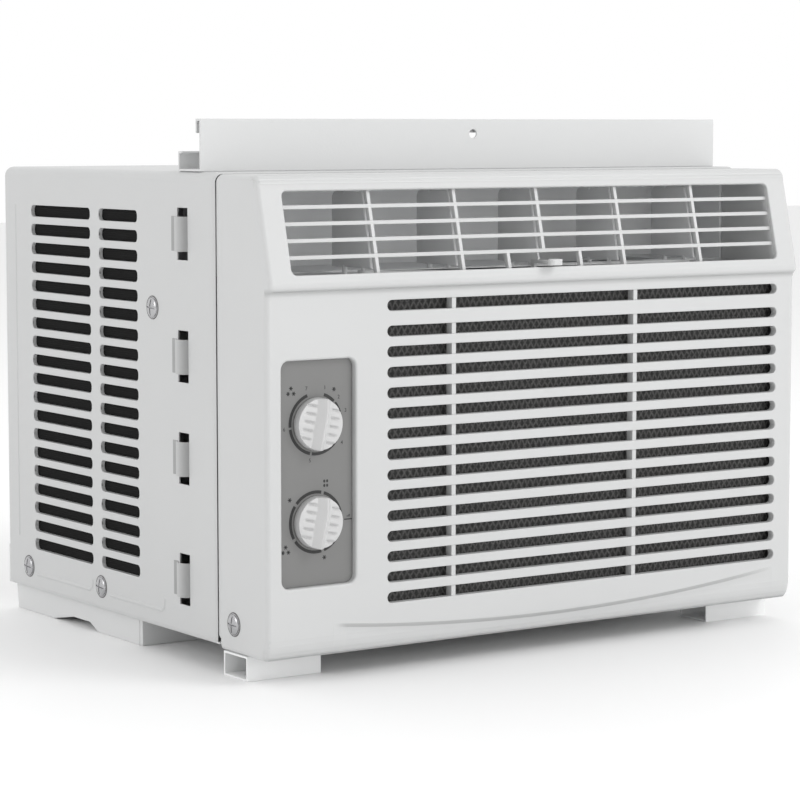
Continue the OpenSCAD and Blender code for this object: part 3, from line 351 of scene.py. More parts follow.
def extruded_profile(points, x0, x1):
    """A flat side outline, in millimetres behind the face and over the edge, drawn out along X."""
    bpy.ops.mesh.primitive_circle_add(vertices=len(points), radius=1, fill_type="NGON")
    made = bpy.context.active_object
    for vertex, (y, z) in zip(made.data.vertices, points):
        vertex.co = place_of(x0, y, z)
    all_of(made)
    bpy.ops.mesh.extrude_region_move(TRANSFORM_OT_translate={"value": ((x1 - x0) * mm, 0, 0)})
    face_outwards()
    return made


def band_front(z):
    """How far behind the face the outlet band lies at a height."""
    return -4 + (z - band_low) * band_slope


def bezel_outline(wall):
    """The panel's side outline, so far inside its skin."""
    rear = 55 if wall == 0 else 57
    turn = [math.radians(step) for step in range(0, 91, 15)]
    chin = [(wall + 5.6 * (1 - math.sin(a)), wall + (14 - wall) * (1 - math.cos(a))) for a in turn]
    crown_y = band_front(panel_top - crown) + crown
    top = [(crown_y - (crown - wall) * math.cos(a), panel_top - crown + (crown - wall) * math.sin(a))
           for a in turn]
    return [(rear, wall)] + chin + [(wall, 214), (wall - 4, band_low)] + top + [(rear, panel_top - wall)]


def opening(width, height, corner, lip, place, depth, slope=0.0, turn=0.0, ahead=3):
    """A cutter for a hole with a rounded rim, facing the front, sizes in millimetres."""
    quarter = 8
    bpy.ops.mesh.primitive_circle_add(vertices=4 * quarter, radius=1, fill_type="NGON")
    cutter = bpy.context.active_object
    for number, vertex in enumerate(cutter.data.vertices):
        side = number // quarter
        angle = math.radians(90 * side + 90 * (number % quarter) / (quarter - 1))
        right = 1 if side in (0, 3) else -1
        up = 1 if side in (0, 1) else -1
        across = right * (width / 2 - corner) + (corner + lip) * math.cos(angle)
        along = up * (height / 2 - corner) + (corner + lip) * math.sin(angle)
        vertex.co = Vector((across, -ahead, along)) * mm
    all_of(cutter)
    bpy.ops.mesh.extrude_region_move(TRANSFORM_OT_translate={"value": (0, ahead * mm, 0)})
    for inward, deeper in ((0.5, 0.134), (0.366, 0.366), (0.134, 0.5)):
        bpy.ops.mesh.extrude_region_move(TRANSFORM_OT_translate={"value": (0, deeper * lip * mm, 0)})
        done()
        for vertex in cutter.data.vertices:
            if vertex.select:
                middle = Vector((math.copysign(width / 2 - corner, vertex.co.x), 0,
                                 math.copysign(height / 2 - corner, vertex.co.z))) * mm
                spoke = Vector((vertex.co.x - middle.x, 0, vertex.co.z - middle.z))
                vertex.co -= spoke.normalized() * inward * lip * mm
        bpy.ops.object.mode_set(mode="EDIT")
    bpy.ops.mesh.extrude_region_move(TRANSFORM_OT_translate={"value": (0, (depth - lip) * mm, 0)})
    face_outwards()
    cutter.data.transform(Matrix.Rotation(turn, 4, "Z") @ Matrix.Rotation(-slope, 4, "X"))
    cutter.data.transform(Matrix.Translation(place))
    return cutter


white_plastic = Finish("white_plastic", roughness=0.42)
white_plastic.shades(white_plastic.noise(0.09), (0.575, 0.58, 0.58), (0.595, 0.6, 0.6))
white_plastic.rough(white_plastic.noise(0.05) * 0.1 + 0.36)
white_plastic.relief(white_plastic.noise(0.7 * mm), 0.02 * mm)

# The panel's own finish adds the crease, a soft step of a millimetre along a shallow curve, and paints
# shade into its colour just below the crease and under the outlet ledge.
bezel_plastic = Finish("bezel_plastic", roughness=0.42)
bezel_plastic.rough(bezel_plastic.noise(0.05) * 0.1 + 0.36)
point_x = bezel_plastic.along(0)
point_y = bezel_plastic.along(1)
point_z = bezel_plastic.along(2)
below = (point_x * point_x * 0.35 + sill + 10.5 * mm - point_z).most(0.0)
left_end = ((point_x + 157 * mm) / (9 * mm)).most(0.0).least(1.0)
end_fade = (1 - (abs(point_x) / (187 * mm)) ** 12).most(0.0) * left_end * (point_y < face_y + 9 * mm)
pressed = (below / (2.2 * mm)).least(1.0) - (below / (20 * mm)).least(1.0)
grain = bezel_plastic.noise(0.7 * mm)
bezel_plastic.relief(grain * 0.02 - pressed * end_fade * 1.6, 1 * mm)
# Painted shade: the colour darkens just below the crease and in a band under the ledge, where shade falls.
crease_painted_shade = (below / (1.4 * mm)).least(1.0) * (1 - (below / (7 * mm)).least(1.0)) * end_fade
ledge_painted_shade = (1 - abs(point_z - sill - 215.4 * mm) / (2.8 * mm)).most(0.0) * (point_y < face_y + 2 * mm)
painted_shade = (crease_painted_shade * 0.3 + ledge_painted_shade * 0.6).least(1.0)
bezel_plastic.shades(bezel_plastic.noise(0.09) * 0.1 + painted_shade * 0.9,
                     (0.585, 0.59, 0.59), (0.33, 0.333, 0.333))

bezel = extruded_profile(bezel_outline(0), -half_width, half_width)
only(bezel)
for edge in bezel.data.edges:
    ends = [bezel.data.vertices[corner].co for corner in edge.vertices]
    edge.select = ends[0].x * ends[1].x > 0 and min(ends[0].y, ends[1].y) < face_y + 54.9 * mm
bpy.ops.object.mode_set(mode="EDIT")
bpy.ops.mesh.select_mode(type="EDGE")
bpy.ops.mesh.bevel(offset=3 * mm, segments=5, affect="EDGES", clamp_overlap=False)
done()
soften(bezel, 0.8 * mm, steps=3, smooth=False)
combine(bezel, extruded_profile(bezel_outline(panel_wall), -half_width + panel_wall,
                                half_width - panel_wall))

slot_x = 34.55
slot_length = 306.5
slot_height = 6.5
slot_levels = [205.4] + [205.4 - 15.3 - 12.277 * row for row in range(14)]
plate_x = -166.9
plate_z = 108.8
plate_width = 51.4
plate_height = 133.5
combine(bezel, block(place_of(slot_x - slot_length / 2 - 3, 0.4, slot_levels[-1] - 8),
                     place_of(slot_x + slot_length / 2 + 3, 5, slot_levels[0] + 6)), "UNION")
combine(bezel, block(place_of(plate_x - plate_width / 2 - 1.5, 0.4, plate_z - plate_height / 2 - 2),
                     place_of(plate_x + plate_width / 2 + 2, 7.2, plate_z + plate_height / 2 + 2)), "UNION")

slots = [opening(slot_length, slot_height, slot_height / 2 - 0.01, 0.6, place_of(slot_x, 0, level), 9)
         for level in slot_levels]
combine(bezel, joined("slots", slots))
for rib_x in (-70, 70):
    combine(bezel, block(place_of(rib_x - 1.5, 0.9, slot_levels[-1] - 6),
                         place_of(rib_x + 1.5, 6.5, slot_levels[0] + 5.5)), "UNION")
combine(bezel, opening(plate_width, plate_height, 5, 1.6, place_of(plate_x, 0, plate_z), 5.2))
outlet_middle = 249.55
combine(bezel, opening(372.6, 49.9, 3.5, 0.9, place_of(0, band_front(outlet_middle), outlet_middle), 14,
                       slope=math.atan(band_slope)))
combine(bezel, block(place_of(199.5, 9.6, 21.6), place_of(205, 14.4, 210.4)))

# A tongue runs on behind the seam, up both sides and over the top, and the cabinet slides over it.
tongue = extruded_profile([(50, 4), (61, 4), (61, 282.8), (50, 282.8)], -201.8, 201.8)
only(tongue)
for edge in tongue.data.edges:
    ends = [tongue.data.vertices[corner].co for corner in edge.vertices]
    edge.select = abs(ends[0].y - ends[1].y) > 5 * mm and ends[0].z > 0.2
bpy.ops.object.mode_set(mode="EDIT")
bpy.ops.mesh.select_mode(type="EDGE")
bpy.ops.mesh.bevel(offset=4.8 * mm, segments=6, affect="EDGES")
done()
combine(tongue, extruded_profile([(49, 3), (62, 3), (62, 276), (49, 276)], -200.9, 200.9))
bezel = joined("front_bezel", [bezel, tongue])
shaded(bezel)
bezel.name = "front_bezel"
painted(bezel, bezel_plastic)
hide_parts("front_panel")
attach(bezel, "unit")

# ---------- Outlet grille and swivel vanes ----------
# A moulded frame of thin horizontal bars and upright ribs, clipped in behind the band. Five pale
# vanes turn behind the ribs, tied together by a white bar with a finger tab.


def copy_of(node, name):
    """A merged copy of a CAD node, with its flat faces whole again, ready to be worked on."""
    piece = bpy.data.objects.new(name, frame["nodes"][node].data.copy())
    bpy.context.scene.collection.objects.link(piece)
    only(piece)
    bpy.ops.mesh.customdata_custom_splitnormals_clear()
    all_of(piece)
    bpy.ops.mesh.remove_doubles(threshold=0.004 * mm)
    bpy.ops.mesh.dissolve_limited(angle_limit=math.radians(0.4))
    done()
    return piece


outlet_half = 186.3
outlet_low = 225.3
outlet_row = 9.7
bay = 62.1
frame_low = 220.8
frame_top = 275.3
parts = []
for row in range(1, 5):
    level = outlet_low + row * outlet_row
    parts.append(block(place_of(-outlet_half - 1, band_front(level) + 3.4, level - 1.15),
                       place_of(outlet_half + 1, band_front(level) + 7.2, level + 1.15)))
ribs = [(step * bay, frame_low + 1, frame_top + 1) for step in (-2, -1, 1, 2)]
ribs += [(0, outlet_low + outlet_row - 1, frame_top + 1)]
ribs += [(side * 0.445 * bay, frame_low + 1, outlet_low + outlet_row) for side in (-1, 1)]
for x, low, high in ribs:
    parts.append(extruded_profile([(band_front(low) + 3.6, low), (band_front(low) + 7, low),
                                   (band_front(high) + 7, high), (band_front(high) + 3.6, high)],
                                  x - 1.2, x + 1.2))
for side in (-1, 1):
    parts.append(extruded_profile([(band_front(frame_low) + 2.8, frame_low), (53.8, frame_low),
                                   (53.8, frame_top + 2), (band_front(frame_top) + 3.3, frame_top + 2)],
                                  side * (outlet_half + 1) - 1, side * (outlet_half + 1) + 1))
parts.append(block(place_of(-outlet_half - 1, band_front(frame_low) + 4.5, frame_low + 0.4),
                   place_of(outlet_half + 1, 53.4, frame_low + 2)))
parts.append(block(place_of(-outlet_half - 1, band_front(frame_top) + 4.5, frame_top),
                   place_of(outlet_half + 1, 53.4, frame_top + 1.6)))
for part in parts:
    soften(part, 0.3 * mm)
grille = joined("air_grille", parts)
painted(grille, white_plastic)
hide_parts("outlet_grille")
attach(grille, "unit")

grey_plastic = Finish("grey_plastic", roughness=0.5)
grey_plastic.shades(grey_plastic.noise(0.05), (0.19, 0.195, 0.2), (0.22, 0.225, 0.23))
grey_plastic.rough(grey_plastic.noise(0.03) * 0.12 + 0.42)
grey_plastic.relief(grey_plastic.noise(0.6 * mm), 0.02 * mm)

# Painted light: the outlet duct's lining is far lighter than the white plastic, standing for light inside
# the deep, shaded duct.
duct_painted_light = Finish("duct_painted_light", roughness=0.6)
duct_painted_light.shades(duct_painted_light.noise(0.05), (0.84, 0.845, 0.85), (0.88, 0.885, 0.89))
duct_painted_light.rough(duct_painted_light.noise(0.01) * 0.15 + 0.5)
duct_painted_light.relief(duct_painted_light.noise(1.5 * mm), 0.05 * mm)
vane_plastic = Finish("vane_plastic", roughness=0.5)
vane_plastic.shades(vane_plastic.noise(0.05), (0.7, 0.705, 0.71), (0.74, 0.745, 0.75))
vane_plastic.rough(vane_plastic.noise(0.03) * 0.12 + 0.45)
vane_plastic.relief(vane_plastic.noise(0.6 * mm), 0.02 * mm)
for number in range(1, 6):
    node = f"vane_{number}"
    middle_x = (number - 3) * bay
    corner = [(46.6 + 4.4 * math.cos(math.radians(a)), 267.8 + 4.4 * math.sin(math.radians(a)))
              for a in range(0, 91, 15)]
    blade = extruded_profile([(8.6, 227), (51, 227)] + corner + [(18.6, 272.2)],
                             middle_x - 0.8, middle_x + 0.8)
    soften(blade, 0.3 * mm)
    blade_parts = [blade]
    for y, low, high, radius in ((38, 221.2, 228, 1.6), (38, 271, 276.7, 1.6), (18, 223.2, 228, 1.3)):
        bpy.ops.mesh.primitive_cylinder_add(vertices=20, radius=radius * mm, depth=(high - low) * mm)
        pin = bpy.context.active_object
        pin.data.transform(Matrix.Translation(place_of(middle_x, y, (low + high) / 2)))
        pin.location = (0, 0, 0)
        soften(pin, 0.2 * mm)
        blade_parts.append(pin)
    blade = joined(f"swivel_blade_{number}", blade_parts)
    painted(blade, vane_plastic)
    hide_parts(node)
    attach(blade, node)

link = copy_of("vane_link", "blade_tie_bar")
soften(link, 0.4 * mm)
painted(link, white_plastic)
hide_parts("vane_link")
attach(link, "vane_link")

# ---------- Air filter ----------
# A dark moulded frame, slid in behind the intake slots from the right. Its net is woven from plastic
# thread, and lies on the front of the frame.
dark_frame = Finish("dark_frame", roughness=0.5)
dark_frame.shades(dark_frame.noise(0.03), (0.035, 0.035, 0.036), (0.05, 0.05, 0.052))
dark_frame.rough(dark_frame.noise(0.01) * 0.15 + 0.42)
dark_frame.relief(dark_frame.noise(0.6 * mm), 0.02 * mm)
filter_rim = copy_of("filter_frame", "filter_rim")
soften(filter_rim, 0.3 * mm)
painted(filter_rim, dark_frame)
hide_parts("filter_frame")
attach(filter_rim, "filter")

net = Finish("dark_net", roughness=0.75)
across = net.along(0)
upward = net.along(2)
drift = net.noise(6 * mm) * 0.0026
strand_a = (across + upward * 0.62 + drift).wave(4.4 * mm)
strand_b = (across - upward * 0.62 - drift).wave(4.4 * mm)
strands = strand_a.most(strand_b) ** 3
threads = across.wave(0.9 * mm).most(upward.wave(0.9 * mm)) * 0.3 + strands * 0.7
net.shades(threads * (net.noise(1.2 * mm) * 1.3 + 0.15), (0.03, 0.03, 0.03), (0.19, 0.188, 0.184))
net.shader.inputs["Specular IOR Level"].default_value = 0.2
net.relief(threads, 0.3 * mm)
bpy.ops.mesh.primitive_grid_add(x_subdivisions=290, y_subdivisions=170, size=2)
woven = bpy.context.active_object
woven.name = "woven_net"
for vertex in woven.data.vertices:
    x = 39.6 + vertex.co.x * 161.6
    z = 116 + vertex.co.y * 93.4
    weave = max(math.sin(math.tau * (x + 0.62 * z) / 4.4), math.sin(math.tau * (x - 0.62 * z) / 4.4))
    vertex.co = place_of(x, 9.93 - 0.22 * max(weave, 0) ** 2, z)
thickness = woven.modifiers.new("thickness", "SOLIDIFY")
thickness.thickness = 0.08 * mm
thickness.offset = 0
finish_modifiers(woven)
all_of(woven)
face_outwards()
painted(woven, net)
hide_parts("filter_mesh")
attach(woven, "filter")

# ---------- Control plate ----------
# A flat grey plastic plate, glued into the panel's pocket. The dials' scales are printed on it in
# black, as broken rings, figures and small signs.
grey_plate = Finish("grey_plate", roughness=0.45)
grey_plate.shades(grey_plate.noise(0.06), (0.175, 0.175, 0.172), (0.195, 0.195, 0.192))
grey_plate.rough(grey_plate.noise(0.02) * 0.15 + 0.38)
grey_plate.relief(grey_plate.noise(0.5 * mm), 0.015 * mm)
plate = copy_of("control_plate", "dial_plate")
soften(plate, 0.15 * mm)
painted(plate, grey_plate)
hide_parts("control_plate")
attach(plate, "unit")


def flat_mark(outline):
    """A thin printed mark on the plate, from its outline right of the plate's middle and up."""
    bpy.ops.mesh.primitive_circle_add(vertices=len(outline), radius=1, fill_type="NGON")
    made = bpy.context.active_object
    for vertex, (x, z) in zip(made.data.vertices, outline):
        vertex.co = place_of(plate_x + x, 3.94, z)
    all_of(made)
    bpy.ops.mesh.extrude_region_move(TRANSFORM_OT_translate={"value": (0, 0.08 * mm, 0)})
    face_outwards()
    return made


def on_dial(centre_z, angle, radius):
    """A point on a dial, by its clockwise angle from the top in degrees."""
    return (radius * math.sin(math.radians(angle)), centre_z + radius * math.cos(math.radians(angle)))


def ring_part(centre_z, start, stop):
    """A part of the dark ring round a knob."""
    steps = 20
    angles = [start + (stop - start) * step / steps for step in range(steps + 1)]
    return flat_mark([on_dial(centre_z, angle, 18.7) for angle in angles] +
                     [on_dial(centre_z, angle, 16.8) for angle in reversed(angles)])


def snowflake(middle, span):
    """Three crossed strokes."""
    half_line = 0.28
    stroke = ((-span, -half_line), (span, -half_line), (span, half_line), (-span, half_line))
    strokes = []
    for tilt in (0, 60, 120):
        c, d = math.cos(math.radians(tilt)), math.sin(math.radians(tilt))
        strokes.append(flat_mark([(middle[0] + c * a - d * b, middle[1] + d * a + c * b)
                                  for a, b in stroke]))
    return strokes


def printed(word, middle, height):
    """Small upright lettering."""
    bpy.ops.object.text_add()
    made = bpy.context.active_object
    made.data.body = word
    made.data.size = height * 1.4 * mm
    made.data.align_x = "CENTER"
    made.data.align_y = "CENTER"
    made.data.extrude = 0.03 * mm
    made.data.resolution_u = 3
    only(made)
    bpy.ops.object.convert(target="MESH")
    made = bpy.context.active_object
    made.data.transform(Matrix.Translation(place_of(plate_x + middle[0], 3.94, middle[1]))
                        @ Matrix.Rotation(math.radians(90), 4, "X"))
    return made


upper_z = 137.8
lower_z = 79.8
marks = []
stops = [17, 47, 72, 124, 191, 264, 343]
for start, stop in zip(stops, stops[1:]):
    marks.append(ring_part(upper_z, start + 2, stop - 2))
for number, angle in enumerate(stops):
    marks.append(printed(str(number + 1), on_dial(upper_z, angle, 21.9), 2.3))
places = [15, 90, 165, 237, 308]
for start, stop in zip(places, places[1:] + [places[0] + 360]):
    marks.append(ring_part(lower_z, start + 3, stop - 3))
marks += snowflake(on_dial(upper_z, 33, 23.4), 1.35)
marks += snowflake(on_dial(lower_z, 165, 22.2), 1.35)
marks += snowflake(on_dial(lower_z, 308, 23), 1.35)
for middle in (on_dial(upper_z, -41, 26), on_dial(lower_z, 234, 26)):
    for shift in ((0, 1.9), (-1.9, -1.2), (1.9, -1.2)):
        marks += snowflake((middle[0] + shift[0], middle[1] + shift[1]), 1.3)
fan_middle = on_dial(lower_z, 17, 23.5)
for shift in ((-1, -1.3), (1, -1.3), (-1, 1.3), (1, 1.3)):
    marks.append(flat_mark([(fan_middle[0] + shift[0] + 0.75 * math.cos(math.radians(a)),
                             fan_middle[1] + shift[1] + 0.95 * math.sin(math.radians(a)))
                            for a in range(0, 360, 30)]))
marks.append(flat_mark([(19.8, lower_z - 0.35), (25.4, lower_z - 0.35), (25.4, lower_z + 0.35),
                        (19.8, lower_z + 0.35)]))
marks.append(printed("off", (22.6, lower_z + 2), 1.6))
ink = Finish("dial_ink", roughness=0.55)
ink.shades(ink.noise(2 * mm), (0.015, 0.015, 0.015), (0.03, 0.03, 0.03))
ink.relief(ink.noise(0.4 * mm), 0.01 * mm)
print_layer = joined("dial_printing", marks)
painted(print_layer, ink)
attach(print_layer, "unit")

# ---------- Knobs ----------
# Two pointer knobs in white plastic, pushed on to the switch shafts. A tapered blade crosses each,
# and its flanks are notched for the fingers.
knob_radius = 15.5
knob_lean = math.radians(13)
knob_plastic = Finish("knob_plastic", roughness=0.35)
knob_plastic.shades(knob_plastic.noise(0.02), (0.55, 0.55, 0.55), (0.57, 0.57, 0.57))
knob_plastic.rough(knob_plastic.noise(0.01) * 0.1 + 0.3)
knob_plastic.relief(knob_plastic.noise(0.5 * mm), 0.01 * mm)


def eased(value):
    """Runs smoothly from 0 to 1."""
    value = min(max(value, 0), 1)
    return value * value * (3 - 2 * value)


def knob_height(x, z):
    """Height over the plate, by the place across and along the blade."""
    rim = math.hypot(x, z) / knob_radius
    disc = 7 - 1.4 * rim ** 3
    notch = max(0, math.cos(math.tau * z / 4.9)) ** 1.6
    disc -= 1.4 * notch * eased((abs(x) - 4.6) / 1.8) * eased((13 - abs(x)) / 3)
    blade = 11.4 - 0.008 * z * z - 0.95 * max(0, abs(x + 0.004 * z * abs(z)) - 0.3)
    return max(disc, blade)


def pointer_knob(name, centre_z):
    bpy.ops.mesh.primitive_grid_add(x_subdivisions=84, y_subdivisions=84, size=2)
    made = bpy.context.active_object
    made.name = name
    for vertex in made.data.vertices:
        u, v = vertex.co.x, vertex.co.y
        x = (knob_radius - 0.35) * u * math.sqrt(1 - v * v / 2)
        z = (knob_radius - 0.35) * v * math.sqrt(1 - u * u / 2)
        vertex.select = max(abs(u), abs(v)) > 0.999
        vertex.co = Vector((x, -knob_height(x, z), z))
    for deep, grow in ((3.2, 1.023), (0.7, 1.0), (0.3, 0.985)):
        only(made)
        bpy.ops.object.mode_set(mode="EDIT")
        if deep == 3.2:
            bpy.ops.mesh.select_all(action="DESELECT")
            bpy.ops.mesh.select_mode(type="EDGE")
            bpy.ops.mesh.select_non_manifold()
        bpy.ops.mesh.extrude_region_move()
        done()
        for vertex in made.data.vertices:
            if vertex.select:
                vertex.co = Vector((vertex.co.x * grow, -deep, vertex.co.z * grow))
    bpy.ops.object.mode_set(mode="EDIT")
    bpy.ops.mesh.edge_face_add()
    face_outwards()
    made.data.transform(Matrix.Translation(place_of(plate_x, 4, centre_z))
                        @ Matrix.Rotation(knob_lean, 4, "Y") @ Matrix.Scale(mm, 4))
    only(made)
    bpy.ops.object.shade_smooth_by_angle(angle=math.radians(45))
    painted(made, knob_plastic)
    return made


for node, body, name, centre_z in (("temperature_knob", "temperature_dial", "cooling_knob", upper_z),
                                   ("mode_knob", "mode_dial", "speed_knob", lower_z)):
    knob = pointer_knob(name, centre_z)
    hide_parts(node)
    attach(knob, body)

# ---------- Cabinet ----------
# The wrapper is one sheet of steel, pierced, bent over the unit and powder coated white. Each vent
# is flanged inwards, the bracket hooks are formed out of the sheet, and shallow beads stiffen it.


def powder_coated(name, dark, light):
    """White paint baked on steel, with a faint orange peel."""
    paint = Finish(name, roughness=0.45)
    paint.shades(paint.noise(0.12), dark, light)
    paint.rough(paint.noise(0.04) * 0.1 + 0.42)
    paint.relief(paint.noise(1.6 * mm), 0.05 * mm)
    return paint


powder_coat = powder_coated("powder_coat", (0.55, 0.555, 0.555), (0.57, 0.575, 0.575))
cabinet_front = 55.6
cabinet_rear = 338
cabinet_top = 284


def sheet_box(inset, front, rear, low):
    """A block with its two long top edges rounded, so far inside the cabinet's skin."""
    made = block(place_of(-half_width + inset, front, low),
                 place_of(half_width - inset, rear, cabinet_top - inset))
    only(made)
    for edge in made.data.edges:
        ends = [made.data.vertices[corner].co for corner in edge.vertices]
        edge.select = abs(ends[0].y - ends[1].y) > 1 * mm and ends[0].z > sill + 0.1
    bpy.ops.object.mode_set(mode="EDIT")
    bpy.ops.mesh.select_mode(type="EDGE")
    bpy.ops.mesh.bevel(offset=(6 - inset) * mm, segments=7, affect="EDGES")
    done()
    return made


wrapper = sheet_box(0, cabinet_front, cabinet_rear, 0)
combine(wrapper, sheet_box(1, cabinet_front - 2, cabinet_rear - 1, -2))
rear_flange = 12
combine(wrapper, block(place_of(-half_width + rear_flange, cabinet_rear - 3, -2),
                       place_of(half_width - rear_flange, cabinet_rear + 2, cabinet_top - rear_flange)))

vent_height = 7.5
vent_columns = ((254.7, 82), (177, 50))
vent_low = 33.9
vent_rows = 19
vent_rise = (255.5 - vent_low) / (vent_rows - 1)
hook_levels = (36.5, 110.5, 172.5, 246.5)
hook_front = 89.4
hook_width = 12.4
hook_half = 10.5
hook_hole_half = 15.75
cutters = []
rims = []
for side, turn in ((-1, math.radians(-90)), (1, math.radians(90))):
    for middle_y, length in vent_columns:
        first = opening(length, vent_height, 3, 0.35, place_of(side * half_width, middle_y, vent_low), 4,
                        turn=turn)
        bpy.ops.mesh.primitive_circle_add(vertices=40, radius=1, fill_type="NOTHING")
        rim = bpy.context.active_object
        for number, vertex in enumerate(rim.data.vertices):
            angle = math.radians(90 * (number // 10) + 90 * (number % 10) / 9)
            rear = 1 if number // 10 in (0, 3) else -1
            up = 1 if number // 10 in (0, 1) else -1
            vertex.co = place_of(side * 202.6, middle_y + rear * (length / 2 - 3) + 3 * math.cos(angle),
                                 vent_low + up * (vent_height / 2 - 3) + 3 * math.sin(angle))
        all_of(rim)
        bpy.ops.mesh.extrude_region_move(TRANSFORM_OT_translate={"value": (-side * 2.3 * mm, 0, 0)})
        face_outwards()
        flange = rim.modifiers.new("flange", "SOLIDIFY")
        flange.thickness = 0.5 * mm
        flange.offset = 1
        finish_modifiers(rim)
        for row in range(vent_rows):
            cutters.append(copied(first, (0, 0, row * vent_rise * mm)))
            rims.append(copied(rim, (0, 0, row * vent_rise * mm)))
        bpy.data.objects.remove(first)
        bpy.data.objects.remove(rim)
    for level in hook_levels:
        cutters.append(block(place_of(side * half_width - 3, hook_front, level - hook_hole_half),
                             place_of(side * half_width + 3, hook_front + hook_width,
                                      level + hook_hole_half)))
combine(wrapper, joined("piercings", cutters))

# A hook is a strap that swings out of the sheet and runs back level with it.
strap_line = ((-0.6, 0.6), (0.2, 0.35), (0.8, -0.5), (1.5, -1.9), (2.6, -3.1), (4.2, -3.8), (6, -4),
              (8.6, -4), (9.6, -3.7), (10.4, -2.9))
straps = []
for side in (-1, 1):
    for level in hook_levels:
        bpy.ops.mesh.primitive_grid_add(x_subdivisions=len(strap_line) - 1, y_subdivisions=1, size=2)
        strap = bpy.context.active_object
        for vertex in strap.data.vertices:
            step = round((vertex.co.x + 1) / 2 * (len(strap_line) - 1))
            back, out = strap_line[step]
            vertex.co = place_of(side * (half_width - 0.5 - out), hook_front + back,
                                 level + vertex.co.y * hook_half)
        thick = strap.modifiers.new("sheet", "SOLIDIFY")
        thick.thickness = 0.9 * mm
        thick.offset = 0
        finish_modifiers(strap)
        all_of(strap)
        face_outwards()
        straps.append(strap)

# The beads are half-round ridges half a millimetre high.
beads = []
for side in (-1, 1):
    for route in (((319, 37), (319, 259)), ((293, 13.5), (219, 13.5), (215.4, 15.5), (214.7, 20)),
                  ((191, 13.5), (125, 13.5), (121.6, 15.5), (121, 20.4))):
        bpy.ops.curve.primitive_nurbs_path_add()
        bead = bpy.context.active_object
        bead.data.splines.clear()
        line = bead.data.splines.new("POLY")
        line.points.add(len(route) - 1)
        for point, (y, z) in zip(line.points, route):
            point.co = (*place_of(side * 201.85, y, z), 1)
        bead.data.bevel_depth = 1.7 * mm
        bead.data.bevel_resolution = 5
        bead.data.use_fill_caps = True
        only(bead)
        bpy.ops.object.convert(target="MESH")
        beads.append(bpy.context.active_object)
wrapper = joined("steel_wrapper", [wrapper] + rims + beads)
shaded(wrapper)
painted(wrapper, powder_coat)
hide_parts("cabinet")
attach(wrapper, "unit")

# Painted shade: the straps' colour darkens towards their front ends, where they swing out of the sheet, and
# a near-black strip behind each one is a painted shadow on the side.
for side in (-1, 1):
    for level in hook_levels:
        shadow_strip = block(place_of(side * half_width - 0.3, hook_front + hook_width + 1.2, level - hook_half),
                      place_of(side * half_width + 0.3, hook_front + hook_width + 7, level + hook_half))
        soften(shadow_strip, 0.25 * mm)
        straps.append(shadow_strip)
# The hook finish is painted shade: dark at each strap's front, light at its back, and near black on the
# strips.
hook_shade_paint = Finish("hook_shade_paint", roughness=0.5)
hook_back = (hook_shade_paint.along(1) - face_y) / mm
strap_shade_ramp = ((hook_back - hook_front) / hook_width).most(0.0).least(1.0)
shadow_strip_zone = hook_back > hook_front + hook_width + 0.6
hook_painted_shade = strap_shade_ramp * (1 - shadow_strip_zone) + shadow_strip_zone * 0.06
hook_shade_paint.shades(hook_painted_shade * 0.9 + hook_shade_paint.noise(0.01) * 0.1, (0.3, 0.302, 0.302), (0.58, 0.585, 0.585))
hook_shade_paint.relief(hook_shade_paint.noise(1.6 * mm), 0.05 * mm)
hooks = joined("bracket_hooks", straps)
shaded(hooks)
painted(hooks, hook_shade_paint)
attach(hooks, "unit")

# A near-black sheet with a fine weave lies against the flanges and hides the works; it is painted shade,
# standing for the dark inside seen through the vents.
shade_screen_finish = Finish("painted_shade_screen", roughness=0.9)
screen_side = shade_screen_finish.along(1).wave(1.4 * mm)
screen_up = shade_screen_finish.along(2).wave(1.4 * mm)
shade_screen_finish.shades(screen_side.most(screen_up), (0.006, 0.006, 0.006), (0.016, 0.016, 0.016))
shade_screen_finish.shader.inputs["Specular IOR Level"].default_value = 0.1
shade_screen_finish.relief(screen_side.most(screen_up), 0.2 * mm)
for side in (-1, 1):
    shade_sheet = block(place_of(min(side * 200.3, side * 199.5), 148, 29.4),
                   place_of(max(side * 200.3, side * 199.5), 299, 262))
    only(shade_sheet)
    bpy.ops.object.mode_set(mode="EDIT")
    bpy.ops.mesh.select_mode(type="FACE")
    done()
    for face in shade_sheet.data.polygons:
        face.select = abs(face.normal.x) > 0.9
    bpy.ops.object.mode_set(mode="EDIT")
    bpy.ops.mesh.inset(thickness=4 * mm, depth=-0.25 * mm, use_individual=True)
    done()
    soften(shade_sheet, 0.1 * mm)
    shade_sheet.name = "painted_shade_screen_left" if side < 0 else "painted_shade_screen_right"
    painted(shade_sheet, shade_screen_finish)
    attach(shade_sheet, "unit")

# ---------- Side screws ----------
# Large domed steel screws with a cross slot hold the cabinet and the panel to the pan. They are zinc
# plated, and a dark ring round each flange is painted shadow, for the shade line round the head.
zinc = Finish("zinc_plate", roughness=0.35, metallic=0.9)
zinc.shades(zinc.noise(0.02), (0.4, 0.4, 0.41), (0.5, 0.5, 0.51))
zinc.rough(zinc.noise(0.008) * 0.1 + 0.16)
zinc.relief(zinc.noise(1 * mm), 0.02 * mm)


